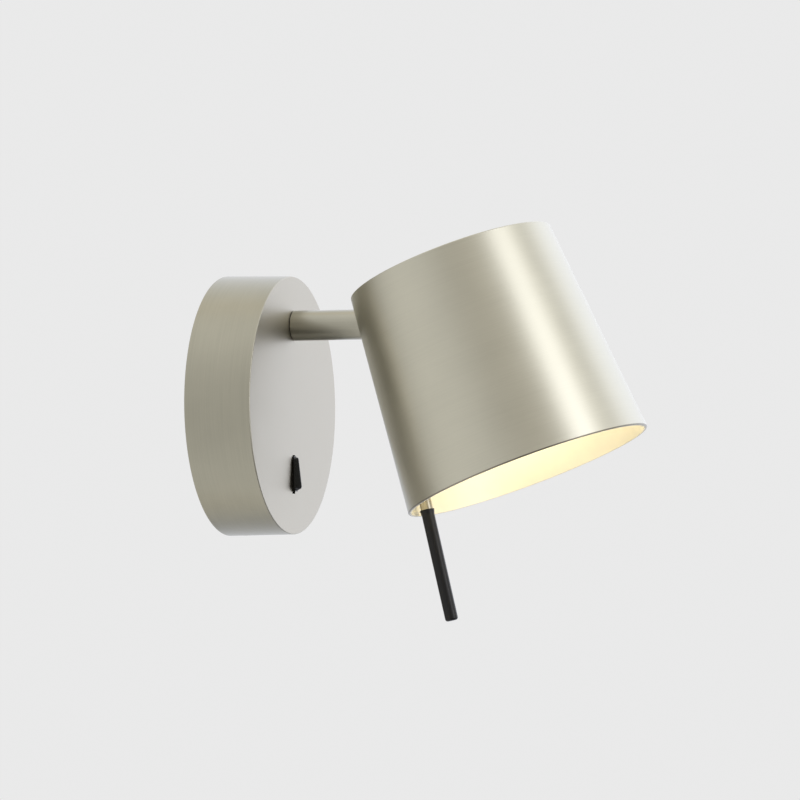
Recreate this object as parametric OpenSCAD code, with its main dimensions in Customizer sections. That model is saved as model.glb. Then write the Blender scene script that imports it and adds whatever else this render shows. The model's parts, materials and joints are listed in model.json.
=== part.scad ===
// Bedside wall reading lamp: round wall plate with a rocker switch, short swivelling arm,
// and a conical shade that tilts on a clevis at the arm's end by a thin handle.
// Millimetres. X is to the right seen from the room, Y runs into the wall, Z is up.
// The origin is the centre of the plate's back, on the wall's surface.

/* [Wall plate] */
// Diameter of the cover at the wall
plate_d = 110; // [104:0.5:130]
// Diameter of the cover at its front face
plate_front_d = 108.8; // [103:0.2:129]
// How far the cover stands out from the wall
plate_depth = 28.3; // [27.8:0.1:36]
// Sheet thickness of the cover
plate_wall = 1.5; // [1:0.1:2]
// Rounded edge of the cover's front face
plate_edge = 0.4; // [0.2:0.1:1]

/* [Mounting bracket] */
// Thickness of the steel bracket
bracket_t = 1.5; // [1.2:0.1:2]
// Distance between the two wall screws
wall_screw_pitch = 60; // [56:0.5:64]
// Width of the slots for the wall screws
wall_slot_w = 4.5; // [4:0.1:5.5]
// End to end length of the slots
wall_slot_len = 10; // [8:0.5:12]
// Width of the strap that the wall screws hold
strap_w = 24; // [18:1:26]
// Width of the upright strap
upright_w = 30; // [28:1:34]
// Bore of the grommet for the supply cable
cable_bore_d = 8; // [6:0.5:9]
// Distance from the wall to the screws that pin the cover
cover_screw_out = 8; // [6:0.5:11]
// Diameter of the screws that pin the cover
cover_screw_d = 4; // [3:0.5:5]

/* [Arm] */
// Outside diameter of the arm
arm_d = 12.7; // [12:0.1:13.5]
// Height of the arm above the plate's centre
arm_height = 33.6; // [31:0.2:36]
// Distance of the tilt pivot from the wall
pivot_out = 62.5; // [58:0.5:90]
// Thread of the hollow stud that holds the arm
stud_d = 10; // [9:0.1:10]
// Bore of the hollow stud
stud_bore_d = 7; // [6.2:0.1:7.6]
// Shadow gap between the plate and the arm
arm_gap = 0.3; // [0.2:0.1:1]
// Across the flats of the arm's nut
arm_nut_af = 14; // [13.5:0.5:16]

/* [Tilt joint] */
// Width of the slot in the arm's end
clevis_w = 6; // [5.4:0.1:6.4]
// Thickness of each friction washer
friction_t = 0.5; // [0.3:0.1:0.7]
// Diameter of the tilt bolt
tilt_bolt_d = 4; // [3:0.5:4]
// Diameter of the tilt bolt's head and nut
tilt_head_d = 5.4; // [5:0.1:6]
// Lean of the shade away from the wall, from upright
head_tilt = 21; // [0:0.5:32]
// Furthest lean away from the wall
tilt_out = 34; // [30:1:34]
// Furthest lean towards the wall
tilt_in = 12; // [5:1:12]

/* [Shade] */
// Diameter of the shade's top
shade_top_d = 88.4; // [86:0.2:96]
// Diameter of the shade's mouth
shade_mouth_d = 105; // [98:0.5:115]
// Length of the shade along its axis
shade_len = 93.3; // [90:0.5:110]
// Wall of the shade
shade_wall = 1.3; // [1:0.1:1.5]
// Depth of the tilt pivot inside the shade's skin, at the shade's top
pivot_inset = 2.73; // [2:0.01:2.9]
// Height of the shade's top over the tilt pivot
shade_rise = 10.85; // [10.8:0.05:12]
// Thickness of the shade's top disc
top_t = 1.2; // [1:0.1:1.3]

/* [Handle] */
// Diameter of the handle's rod
rod_d = 5.2; // [4.6:0.1:5.6]
// Room between the rod and the shade's skin, at the shade's mouth
rod_room = 2.03; // [1:0.01:5]
// Distance of the rod's line from the pivot, at the pivot's height
rod_reach = 6.05; // [5.8:0.05:7]
// Distance along the rod from the pivot's height to the sleeve
sleeve_from = 82.2; // [80:0.1:100]
// Length of the sleeve
sleeve_len = 47.3; // [35:0.1:70]
// Diameter of the sleeve
sleeve_d = 5.4; // [5:0.1:6.5]
// Diameter of the sleeve's collar
collar_d = 6.3; // [6:0.1:7.5]

/* [Lamp and lampholder] */
// Diameter of the lampholder
holder_d = 27; // [25:0.5:30]
// Length of the lampholder
holder_len = 28.5; // [27.5:0.1:29]
// Diameter of the lamp's glass
glass_d = 45; // [40:0.5:50]
// Length of the lamp over its cap
lamp_len = 68; // [66:0.5:72]
// Diameter of the lamp's screw cap
cap_d = 13.8; // [13.4:0.1:14]

/* [Switch] */
// Height of the switch's slot below the plate's centre
slot_drop = 29.15; // [27:0.1:31]
// Length of the slot in the cover
slot_len = 16.3; // [15.8:0.1:18]
// Width of the slot in the cover
slot_w = 3.4; // [3.2:0.1:4]
// Half of the rocker's swing
rock_angle = 3; // [2:0.5:3]
// Distance of the rocker's pin behind the cover's face
pin_depth = 4; // [3.8:0.1:4.4]
// Diameter of the rocker's pin
pin_d = 2; // [1.5:0.1:2.4]
// Length of the rocker's knob
knob_len = 14.2; // [13:0.1:15]
// Width of the knob at its upper end
knob_top_w = 4.7; // [4.2:0.1:6]
// Width of the knob at its lower end
knob_low_w = 6.8; // [6:0.1:8.5]

/* [Leads] */
// Diameter of the insulated leads
lead_d = 1.8; // [1.2:0.1:2]

/* [Hidden] */

$fn = 96;
fit = 0.02;       // radial room of a piece pressed or screwed into its own body
running = 0.04;   // radial room of a piece that turns
loose = 0.1;      // room of a piece dropped into a clearance hole
contact_gap = 0.15; // room between contacts that meet in use
cut = 0.5;        // how far a cut runs past the surface it opens

nickel = [0.66, 0.64, 0.58];
steel = [0.62, 0.63, 0.65];
brass = [0.78, 0.62, 0.32];
black = [0.12, 0.12, 0.12];
cream = [0.92, 0.9, 0.84];
grey_rubber = [0.3, 0.3, 0.3];
brown = [0.4, 0.24, 0.13];
blue = [0.16, 0.35, 0.68];
green = [0.35, 0.6, 0.2];

plate_r = plate_d / 2;
plate_front_r = plate_front_d / 2;
face_back = plate_depth - plate_wall;

// Outer radius of the cover's skirt at a distance from the wall
function skirt_r(out) = plate_r + (plate_front_r - plate_r) * out / plate_depth;

// Tabs and screws that hold the cover to the bracket
bracket_room = 0.7;
tab_w = 16;
tab_end = cover_screw_out + 6;
tab_room = 0.3;
bracket_r = min(skirt_r(0), skirt_r(bracket_t)) - plate_wall - bracket_room;
tab_corner_r = min(skirt_r(0), skirt_r(tab_end)) - plate_wall;
tab_out_y = sqrt(pow(tab_corner_r, 2) - pow(tab_w / 2, 2)) - tab_room;
cover_screw_len = 5;
cover_screw_sink = 0.2;
grommet_wall = 2;
grommet_flange = 1.6;
grommet_flange_t = 2;
cable_hole_r = cable_bore_d / 2 + grommet_wall;
grommet_flange_r = cable_hole_r + grommet_flange;
grommet_len = bracket_t + grommet_flange_t;

// Terminal block
pole_pitch = 7;
poles = [-1, 0, 1];
block_w = 28;
block_h = 16;
block_t = 14;
block_y = 9;
block_out = bracket_t;
clamp_r = 2.5;
clamp_bore_r = 1.5;
clamp_inset = 2;
clamp_out = block_out + 5.5;
block_screw_x = 11.7;
block_screw_r = 1.5;
block_head_r = 2;
clamp_screw_r = 1.3;
clamp_screw_pitch = 6;
clamp_screw_sink = 1;

// Earth terminal on the bracket
earth_x = 10.5;
earth_y = -15;
earth_screw_r = 2;
earth_tag_t = 0.8;
earth_tag_r = 4;
earth_tag_len = 7;

// Arm mounting: bush, washers, nut and stop
arm_r = arm_d / 2;
stud_r = stud_d / 2;
bush_r = stud_r + 1;
bush_flange_r = 9;
bush_flange_t = 1.5;
arm_back = plate_depth + arm_gap;
spring_washer_t = 0.6;
stop_washer_t = 1.2;
arm_nut_t = 4;
washer_r = 8.5;
bush_back = face_back - bush_flange_t;
spring_back = bush_back - spring_washer_t;
stop_back = spring_back - stop_washer_t;
nut_back = stop_back - arm_nut_t;
stud_past_nut = 1;
stud_in_arm = 15;
stud_back = nut_back - stud_past_nut;
stud_front = arm_back + stud_in_arm;
stop_pin_r = 1;
stop_pin_reach = 12;
stop_tab_w = 2.4;
stop_pin_past = 0.7;
stop_pin_back = stop_back - stop_pin_past;
arm_wire_r = 3;

// Tilt joint
pivot_eye_r = 5.6;
eye_room = 0.4;
clevis_from = pivot_eye_r + eye_room;
clevis_floor = pivot_out - clevis_from;
clevis_floor_t = 4;
clevis_mouth = 3;
arm_bore_end = clevis_floor - clevis_floor_t;
tongue_half = clevis_w / 2 - friction_t;
tilt_bolt_r = tilt_bolt_d / 2;
tilt_head_r = tilt_head_d / 2;
cheek_t = 1.5;
head_seat = clevis_w / 2 + cheek_t;
head_inset = 0.35;
head_t = arm_r - head_seat - head_inset;

// Shade
shade_taper = (shade_mouth_d - shade_top_d) / 2 / shade_len;
shade_skin = shade_wall / cos(atan(shade_taper));
shade_reach = shade_top_d / 2 - pivot_inset;
shade_top_z = shade_rise;
shade_mouth_z = shade_rise - shade_len;
disc_low_z = shade_top_z - top_t;
arm_slot_gap = 0.5;
arm_slot_r = arm_r + arm_slot_gap + 0.15;
arm_slot_up = arm_sweep(pivot_inset, tilt_out) + arm_slot_gap;
arm_slot_down = arm_sweep(pivot_inset + shade_taper * (shade_rise + arm_d / 2), tilt_in) + arm_slot_gap;

// Head bracket
beam_t = 5;
plate_low_z = disc_low_z - beam_t;
beam_half = 9;
beam_start = -8;
beam_past_axis = 18;
beam_end = -(shade_reach + beam_past_axis);
web_end = 2.4 * beam_start;
groove_start = beam_start - 4;
groove_half = 2.6;
groove_deep = 3;
boss_r = 4.5;
boss_top = 8;
boss_low = 20;
rod_tip_r = 2;
rod_tip_len = 9;
screw_side_x = 6;
screw_side_y = -24;
screw_past_axis = 13.2;
screw_end_y = -(shade_reach + screw_past_axis);
bracket_screw_r = 1.5;
bracket_head_r = 2.9;
bracket_screw_len = 4.5;

// Lampholder and lamp, measured down from the bracket
nipple_r = 5;
nipple_bore_r = 3.5;
nipple_up = 1.7;
nipple_down = 2;
nipple_top = plate_low_z + nipple_up;
nipple_low = plate_low_z - nipple_down;
holder_r = holder_d / 2;
holder_wall = 1.8;
holder_cap_t = 2;
holder_cap_len = 12;
holder_split = plate_low_z - holder_cap_len;
holder_low = plate_low_z - holder_len;
holder_neck = 4;
holder_neck_z = holder_split + holder_neck;
cap_r = cap_d / 2;
shell_room = 0.3;
shell_inset = 2;
shell_r = cap_r + shell_room;
shell_t = 0.5;
lamp_drop = 7.75;
lamp_top = plate_low_z - lamp_drop;
lamp_low = lamp_top - lamp_len;
leaf_low = lamp_top + contact_gap;
holder_leaf_t = 0.4;
leaf_half_w = 2;
tip_len = 2.5;
cap_len = 18.5;
cap_low = lamp_top - tip_len - cap_len;
glass_r = glass_d / 2;
glass_wall = 1;
glass_z = lamp_low + glass_r;
neck_r = 8;
neck_drop = 8;
neck_low_r = 12.5;

// Handle
rod_side = shade_mouth_d / 2 - shade_skin - shade_reach - rod_room - rod_d / 2;
handle_lean = atan((rod_side + rod_reach) / -shade_mouth_z);
handle_nut_af = 7;
handle_nut_t = 3;
tang_r = 1.6;
tang_len = 40;
collar_len = 2.2;

// Switch
pin_out = plate_depth - pin_depth;
pin_r = pin_d / 2;
pin_half = 7;
knob_gap = 0.3;
knob_half = knob_len / 2;
knob_top_edge = 0.4;
knob_low_edge = 0.5;
knob_top_r = 0.9;
knob_low_r = 1.25;
knob_top_lift = 0.65;
knob_low_lift = 0.75;
blade_half_w = 1.5;
blade_half = slot_len / 2 - 0.75;
housing_half_w = 7.5;
housing_half = 12;
housing_back = 12;
housing_wall = 1.5;
ear_half_w = 4;
ear_end = 18;
ear_t = 2;
switch_stud_r = 1.5;
switch_stud_len = 6;
switch_stud_y = 15;
switch_nut_af = 5.5;
switch_nut_t = 2.4;
stem_low = -6;
leaf_t = 0.5;
leaf_half = 6;
tag_w = 4;
tag_t = 0.8;
tag_y = 5.5;
pad_t = 1;
pad_top = stem_low - leaf_t - leaf_half * sin(rock_angle) - contact_gap;
tag_back = 4;

// Leads: points in the plate's own frame, right, up and out from the wall
lead_r = lead_d / 2;
lead_side = 1.9;
head_lead_side = 1.2;
head_lead_level = 20;
arm_lead_start = stud_back + 0.4;
arm_lead_end = clevis_floor - 0.5;
lead_steps = 5;
tag_lead_out = tag_back + 1;
earth_lead_out = bracket_t + earth_tag_t + lead_r + 0.1;
supply_live_points = [[-pole_pitch, block_y + 3, clamp_out], [-pole_pitch, block_y - 2, clamp_out],
    [-11, 1, 7.5], [-12, -9, 7], [-8, -17, 6], [-1.5, -slot_drop + tag_y + 2.5, tag_lead_out + 0.5],
    [0, -slot_drop + tag_y + tag_t / 2 + lead_r + 0.1, tag_lead_out + 3]];
switched_live_points = [[0, -slot_drop - tag_y - tag_t / 2 - lead_r - 0.1, tag_lead_out + 3],
    [2, -slot_drop - tag_y - 2, tag_lead_out + 0.5], [10, -38, 6], [19, -28, 9], [22, -10, 12],
    [20, 10, 15.5], [16.5, 24, 17], [8, 33, 15.5], [lead_side, arm_height + 1, 15.5],
    [lead_side, arm_height, stud_back - 0.2]];
supply_neutral_points = [[0, block_y + block_h - 3, clamp_out], [0, block_y + block_h + 2, clamp_out],
    [-1.5, arm_height - 1.5, 9], [-lead_side - 0.6, arm_height + 0.3, 13],
    [-lead_side, arm_height, stud_back - 0.2]];
earth_points = [[pole_pitch, block_y + 3, clamp_out], [pole_pitch, block_y - 2, clamp_out],
    [11.5, 1, 6.5], [11.5, -4, 5], [earth_x, earth_y + earth_tag_len + 1, earth_lead_out + 0.4],
    [earth_x, earth_y + earth_tag_r + 0.2, earth_lead_out]];

// Height at which the arm's edge crosses the shade's skin, over the pivot
function arm_sweep(skin, angle) = (skin + arm_r * sin(angle)) * tan(angle) + arm_r * cos(angle);

function unit(v) = v / norm(v);
function tangents(p) = [for (i = [0 : len(p) - 1]) unit(p[min(i + 1, len(p) - 1)] - p[max(i - 1, 0)])];
function carried(t, i = 0, out = []) = i == len(t) ? out :
    let (from = i == 0 ? cross(t[0], [0.31, 0.77, 0.56]) : out[i - 1])
    carried(t, i + 1, concat(out, [unit(from - (from * t[i]) * t[i])]));
function between(a, b, c, d, u) = 0.5 * (2 * b + (c - a) * u + (2 * a - 5 * b + 4 * c - d) * u * u
    + (3 * b - a - 3 * c + d) * u * u * u);
function smooth_path(p, n) = [for (i = [0 : len(p) - 2], k = [0 : n - 1])
    between(p[max(i - 1, 0)], p[i], p[i + 1], p[min(i + 2, len(p) - 1)], k / n), p[len(p) - 1]];

// Tube of radius r along a smooth curve through the points
module lead(points, r = lead_r, sides = 8) {
    path = smooth_path(points, lead_steps);
    t = tangents(path);
    n = carried(t);
    last = len(path) - 1;
    rings = [for (i = [0 : last], k = [0 : sides - 1])
        path[i] + r * (cos(k * 360 / sides) * n[i] + sin(k * 360 / sides) * cross(t[i], n[i]))];
    walls = [for (i = [0 : last - 1], k = [0 : sides - 1])
        let (a = i * sides + k, b = i * sides + (k + 1) % sides)
        each [[a, a + sides, b], [b, a + sides, b + sides]]];
    near_cap = [[for (k = [0 : sides - 1]) k]];
    far_cap = [[for (k = [sides - 1 : -1 : 0]) last * sides + k]];
    polyhedron(points = rings, faces = concat(walls, near_cap, far_cap));
}

// Right, up and out from the wall
module on_wall() {
    rotate([90, 0, 0]) children();
}

// On the arm's axis, Z out from the wall
module on_arm() {
    on_wall() translate([0, arm_height, 0]) children();
}

// Origin at the tilt pivot, Z up the shade's axis, Y towards the wall
module in_head() {
    translate([0, -pivot_out, arm_height]) rotate([-head_tilt, 0, 0]) children();
}

// On the shade's axis
module on_shade_axis() {
    in_head() translate([0, -shade_reach, 0]) children();
}

// In the head's frame, Z down the handle's rod, from the pivot's height
module down_handle() {
    translate([0, -rod_reach, 0]) rotate([180 + handle_lean, 0, 0]) children();
}

module on_handle() {
    in_head() down_handle() children();
}

// Origin at the rocker's pin, Y up, Z out
module at_switch() {
    on_wall() translate([0, -slot_drop, pin_out]) children();
}

module at_rocker() {
    at_switch() rotate([-rock_angle, 0, 0]) children();
}

module ring(outer, inner, z0, z1) {
    difference() {
        translate([0, 0, z0]) cylinder(r = outer, h = z1 - z0);
        translate([0, 0, z0 - cut]) cylinder(r = inner, h = z1 - z0 + 2 * cut);
    }
}

module rod_between(r, z0, z1) {
    translate([0, 0, z0]) cylinder(r = r, h = z1 - z0);
}

module hexagon(across, z0, z1) {
    translate([0, 0, z0]) cylinder(r = across / sqrt(3), h = z1 - z0, $fn = 6);
}

module box(from, to) {
    translate(from) cube(to - from);
}

module ball(at, r) {
    translate(at) sphere(r = r, $fn = 24);
}

// Stadium of two round ends along X, open in Z
module slot_along_x(length, width, z0, z1) {
    end = length / 2 - width / 2;
    box([-end, -width / 2, z0], [end, width / 2, z1]);
    for (side = [-1, 1]) translate([side * end, 0, 0]) rod_between(width / 2, z0, z1);
}

// Wall plate

module wall_cover() {
    color(nickel) {
        on_wall() difference() {
            rotate_extrude() polygon([[0, plate_depth], [plate_front_r - plate_edge, plate_depth],
                [plate_front_r, plate_depth - plate_edge], [plate_r, 0], [plate_r - plate_wall, 0],
                [plate_front_r - plate_wall, face_back], [0, face_back]]);
            translate([0, arm_height, 0]) rod_between(bush_r + fit, face_back - cut, plate_depth + cut);
            translate([0, -slot_drop, 0]) box([-slot_w / 2, -slot_len / 2, face_back - cut],
                [slot_w / 2, slot_len / 2, plate_depth + cut]);
            for (side = [-1, 1]) cover_screw_line(side) rod_between(cover_screw_d / 2 + fit, -2 * cut, 4);
        }
        on_wall() for (side = [-1, 1]) translate([0, -slot_drop + side * switch_stud_y, 0])
            rod_between(switch_stud_r, face_back - switch_stud_len, face_back);
    }
}

// Along a cover screw, Z inwards from the cover's skin
module cover_screw_line(side) {
    translate([0, side * skirt_r(cover_screw_out), cover_screw_out]) rotate([side * 90, 0, 0]) children();
}

module mounting_bracket() {
    color(steel) on_wall() difference() {
        union() {
            intersection() {
                union() {
                    box([-plate_r, -strap_w / 2, 0], [plate_r, strap_w / 2, bracket_t]);
                    box([-upright_w / 2, -plate_r, 0], [upright_w / 2, plate_r, bracket_t]);
                }
                rod_between(bracket_r, -cut, bracket_t + cut);
                box([-plate_r, -tab_out_y, -cut], [plate_r, tab_out_y, bracket_t + cut]);
            }
            for (side = [0, 180]) rotate([0, 0, side])
                box([-tab_w / 2, tab_out_y - bracket_t, 0], [tab_w / 2, tab_out_y, tab_end]);
        }
        for (side = [-1, 1]) {
            translate([side * wall_screw_pitch / 2, 0, 0])
                slot_along_x(wall_slot_len, wall_slot_w, -cut, bracket_t + cut);
            cover_screw_line(side) rod_between(cover_screw_d / 2 + fit, 0, 8);
            translate([side * block_screw_x, block_y + block_h / 2, 0])
                rod_between(block_screw_r + fit, -cut, bracket_t + cut);
        }
        rod_between(cable_hole_r, -cut, bracket_t + cut);
        translate([earth_x, earth_y, 0]) rod_between(earth_screw_r + fit, -cut, bracket_t + cut);
    }
}

module cover_screws() {
    socket = 1.2;
    color(steel) on_wall() for (side = [-1, 1]) cover_screw_line(side) difference() {
        rod_between(cover_screw_d / 2, cover_screw_sink, cover_screw_sink + cover_screw_len);
        hexagon(cover_screw_d / 2, cover_screw_sink - cut, cover_screw_sink + socket);
    }
}

module cable_grommet() {
    color(grey_rubber) on_wall() difference() {
        union() {
            rod_between(cable_hole_r - fit, 0, bracket_t);
            rod_between(grommet_flange_r, bracket_t, grommet_len);
        }
        rod_between(cable_bore_d / 2, -cut, grommet_len + cut);
    }
}

// At the middle of the block's foot
module at_block() {
    on_wall() translate([0, block_y + block_h / 2, block_out]) children();
}

// Along each pole of the block, Z up the plate
module each_pole() {
    for (i = poles) translate([i * pole_pitch, 0, clamp_out - block_out]) rotate([-90, 0, 0]) children();
}

module each_clamp_screw() {
    for (i = poles, side = [-1, 1])
        translate([i * pole_pitch, side * clamp_screw_pitch / 2, clamp_out - block_out]) children();
}

module terminal_block() {
    color(cream) at_block() difference() {
        box([-block_w / 2, -block_h / 2, 0], [block_w / 2, block_h / 2, block_t]);
        each_pole() rod_between(clamp_r + fit, -block_h / 2 - cut, block_h / 2 + cut);
        each_clamp_screw() rod_between(clamp_screw_r + 0.4, 0, block_t);
        for (side = [-1, 1]) translate([side * block_screw_x, 0, 0]) {
            rod_between(block_screw_r + loose, -cut, block_t + cut);
            rod_between(block_head_r + loose, block_t / 2, block_t + cut);
        }
    }
}

module terminal_clamps() {
    color(brass) at_block() difference() {
        each_pole() ring(clamp_r, clamp_bore_r, clamp_inset - block_h / 2, block_h / 2 - clamp_inset);
        each_clamp_screw() rod_between(clamp_screw_r + fit, 0, clamp_r + cut);
    }
}

module terminal_screws() {
    color(brass) at_block() each_clamp_screw() difference() {
        rod_between(clamp_screw_r, clamp_bore_r - 0.4, block_t - clamp_out + block_out - clamp_screw_sink);
        box([-0.3, -2, block_t - clamp_out + block_out - clamp_screw_sink - 0.8],
            [0.3, 2, block_t - clamp_out + block_out]);
    }
}

module block_screws() {
    color(steel) at_block() for (side = [-1, 1]) translate([side * block_screw_x, 0, 0]) difference() {
        union() {
            rod_between(block_screw_r, -block_out, block_t / 2);
            rod_between(block_head_r, block_t / 2, block_t / 2 + 1.6);
        }
        box([-0.35, -3, block_t / 2 + 0.9], [0.35, 3, block_t / 2 + 2]);
    }
}

module earth_screw() {
    color(brass) on_wall() translate([earth_x, earth_y, 0]) difference() {
        union() {
            rod_between(earth_screw_r, 0, bracket_t + earth_tag_t);
            rod_between(earth_tag_r - 0.4, bracket_t + earth_tag_t, bracket_t + earth_tag_t + 2);
        }
        box([-0.4, -5, bracket_t + earth_tag_t + 1.1], [0.4, 5, bracket_t + earth_tag_t + 3]);
    }
}

module earth_tag() {
    color(steel) on_wall() translate([earth_x, earth_y, bracket_t]) difference() {
        union() {
            rod_between(earth_tag_r, 0, earth_tag_t);
            box([-1.2, 0, 0], [1.2, earth_tag_len, earth_tag_t]);
        }
        rod_between(earth_screw_r + fit, -cut, earth_tag_t + cut);
    }
}

module arm_bush() {
    color(black) on_arm() difference() {
        union() {
            rod_between(bush_r, bush_back, arm_back);
            rod_between(bush_flange_r, bush_back, face_back);
        }
        rod_between(stud_r + running, bush_back - cut, arm_back + cut);
    }
}

module stop_pin() {
    color(steel) on_arm() translate([0, stop_pin_reach, 0])
        rod_between(stop_pin_r, stop_pin_back, face_back);
}

// Switch

module switch_housing() {
    floor_z = housing_back - pin_out;
    top_z = face_back - pin_out;
    in_half_w = housing_half_w - housing_wall;
    in_half = housing_half - housing_wall;
    color(black) at_switch() difference() {
        union() {
            box([-housing_half_w, -housing_half, floor_z], [housing_half_w, housing_half, top_z]);
            box([-ear_half_w, -ear_end, top_z - ear_t], [ear_half_w, ear_end, top_z]);
        }
        box([-in_half_w, -in_half, floor_z + housing_wall], [in_half_w, in_half, top_z + cut]);
        rotate([0, 90, 0]) rod_between(pin_r + fit, -housing_half_w - cut, housing_half_w + cut);
        for (side = [-1, 1]) {
            translate([0, side * switch_stud_y, 0])
                rod_between(switch_stud_r + loose, top_z - ear_t - cut, top_z + cut);
            translate([0, side * tag_y, 0])
                box([-tag_w / 2 - loose, -tag_t / 2 - loose, floor_z - cut],
                    [tag_w / 2 + loose, tag_t / 2 + loose, floor_z + housing_wall + cut]);
        }
    }
}

module switch_pin() {
    color(steel) at_switch() rotate([0, 90, 0]) rod_between(pin_r, -pin_half, pin_half);
}

module switch_tags() {
    color(brass) at_switch() for (side = [0, 180]) rotate([0, 0, side]) {
        box([-tag_w / 2, tag_y - tag_t / 2, tag_back - pin_out], [tag_w / 2, tag_y + tag_t / 2, pad_top]);
        box([-tag_w / 2, tag_y - 2, pad_top - pad_t], [tag_w / 2, tag_y + tag_t / 2, pad_top]);
    }
}

module switch_nuts() {
    top = face_back - ear_t;
    color(steel) on_wall() for (side = [-1, 1])
        translate([0, -slot_drop + side * switch_stud_y, 0]) difference() {
            hexagon(switch_nut_af, top - switch_nut_t, top);
            rod_between(switch_stud_r + fit, top - switch_nut_t - cut, top + cut);
        }
}

// One moulding: knob in front of the cover, blade in the slot, boss on the pin
module switch_rocker() {
    face = pin_depth;
    heel = face + knob_gap + knob_half * tan(rock_angle);
    color(black) at_rocker() difference() {
        union() {
            hull() {
                for (side = [-1, 1]) {
                    ball([side * (knob_top_w / 2 - knob_top_edge), knob_half - 1.2, heel + knob_top_edge],
                        knob_top_edge);
                    ball([side * (knob_low_w / 2 - knob_low_edge), 1.4 - knob_half, heel + knob_low_edge],
                        knob_low_edge);
                }
                ball([0, knob_half - knob_top_r, face + knob_top_r + knob_top_lift], knob_top_r);
                ball([0, knob_low_r - knob_half, face + knob_low_r + knob_low_lift], knob_low_r);
                box([-knob_top_w / 2 + 0.3, -0.1, face + knob_gap], [knob_top_w / 2 - 0.3, 0.1, face + 1]);
            }
            rotate([90, 0, 90]) translate([0, 0, -blade_half_w]) linear_extrude(2 * blade_half_w)
                polygon([[-blade_half, face + 0.9], [blade_half, face + 0.9], [blade_half, face - 2.2],
                    [2.2, -1.5], [-2.2, -1.5], [-blade_half, face - 2.2]]);
            rotate([0, 90, 0]) rod_between(pin_r + 1.2, -2, 2);
            box([-blade_half_w, -1.2, stem_low], [blade_half_w, 1.2, 0]);
        }
        rotate([0, 90, 0]) rod_between(pin_r + running, -housing_half_w, housing_half_w);
    }
}

module contact_bridge() {
    color(brass) at_rocker() box([-1.5, -leaf_half, stem_low - leaf_t], [1.5, leaf_half, stem_low]);
}

// Arm

// Section of the clevis end in the upright plane of the arm
module clevis_profile() {
    box([-arm_d, -arm_r, arm_back], [arm_d, arm_r, pivot_out]);
    translate([0, 0, pivot_out]) rotate([0, 90, 0]) rod_between(arm_r, -arm_d, arm_d);
}

module arm_tube() {
    color(nickel) on_arm() difference() {
        intersection() {
            rod_between(arm_r, arm_back, pivot_out + arm_r + 1);
            clevis_profile();
        }
        rod_between(stud_r + fit, arm_back - cut, arm_bore_end);
        rod_between(arm_wire_r, arm_bore_end - cut, clevis_floor + cut);
        box([-clevis_w / 2, -arm_d, pivot_out - clevis_mouth], [clevis_w / 2, arm_d, pivot_out + arm_d]);
        translate([0, 0, pivot_out]) rotate([0, 90, 0]) {
            rod_between(clevis_from, -clevis_w / 2, clevis_w / 2);
            rod_between(tilt_bolt_r + fit, -arm_d, arm_d);
            rod_between(tilt_head_r + loose, head_seat, arm_d);
            rod_between(tilt_head_r + loose, -arm_d, -head_seat);
        }
    }
}

module arm_stud() {
    color(steel) on_arm() ring(stud_r, stud_bore_d / 2, stud_back, stud_front);
}

module arm_nut() {
    color(steel) on_arm() difference() {
        hexagon(arm_nut_af, nut_back, stop_back);
        rod_between(stud_r + fit, nut_back - cut, stop_back + cut);
    }
}

module spring_washer() {
    color(steel) on_arm() ring(washer_r, stud_r + running, spring_back, bush_back);
}

module stop_washer() {
    color(steel) on_arm() difference() {
        union() {
            rod_between(washer_r, stop_back, spring_back);
            box([-stop_tab_w / 2, -stop_pin_reach - stop_pin_r, stop_back],
                [stop_tab_w / 2, 0, spring_back]);
        }
        rod_between(stud_r + fit, stop_back - cut, spring_back + cut);
    }
}

module on_tilt_axis() {
    on_arm() translate([0, 0, pivot_out]) rotate([0, 90, 0]) children();
}

module tilt_bolt() {
    color(steel) on_tilt_axis() difference() {
        union() {
            rod_between(tilt_bolt_r, -head_seat - head_t + 0.2, head_seat);
            rod_between(tilt_head_r, head_seat, head_seat + head_t);
        }
        hexagon(tilt_bolt_r, head_seat + head_t - 1, head_seat + head_t + cut);
    }
}

module tilt_nut() {
    color(steel) on_tilt_axis() ring(tilt_head_r, tilt_bolt_r + fit, -head_seat - head_t, -head_seat);
}

module friction_washers() {
    color(grey_rubber) on_tilt_axis() {
        ring(pivot_eye_r - 0.3, tilt_bolt_r + fit, tongue_half, clevis_w / 2);
        ring(pivot_eye_r - 0.3, tilt_bolt_r + fit, -clevis_w / 2, -tongue_half);
    }
}

// Head

// Upright stadium that lets the arm's end swing through the shade's skin
module arm_slot() {
    ends = [arm_slot_r - arm_slot_down, arm_slot_up - arm_slot_r];
    for (z = ends) translate([0, z]) circle(r = arm_slot_r);
    translate([-arm_slot_r, ends[0]]) square([2 * arm_slot_r, ends[1] - ends[0]]);
}

module shade() {
    top_r = shade_top_d / 2;
    mouth_r = shade_mouth_d / 2;
    color(nickel) in_head() difference() {
        translate([0, -shade_reach, 0]) rotate_extrude($fn = 180)
            polygon([[mouth_r, shade_mouth_z], [top_r, shade_top_z],
                [top_r - shade_skin, shade_top_z], [mouth_r - shade_skin, shade_mouth_z]]);
        rotate([90, 0, 0]) translate([0, 0, -arm_slot_r]) linear_extrude(3 * arm_slot_r) arm_slot();
    }
}

// Where the bracket's screws stand, on the head's frame
screw_spots = [[-screw_side_x, screw_side_y], [screw_side_x, screw_side_y], [0, screw_end_y]];

module each_bracket_screw() {
    for (spot = screw_spots) translate([spot[0], spot[1], shade_top_z]) children();
}

// Countersunk head of a bracket screw, flush with the shade's top
module screw_head(room = 0) {
    sink = bracket_head_r - bracket_screw_r;
    low_r = bracket_screw_r + room + sink - top_t;
    translate([0, 0, -top_t]) cylinder(r1 = low_r, r2 = bracket_head_r + room, h = top_t);
}

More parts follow.
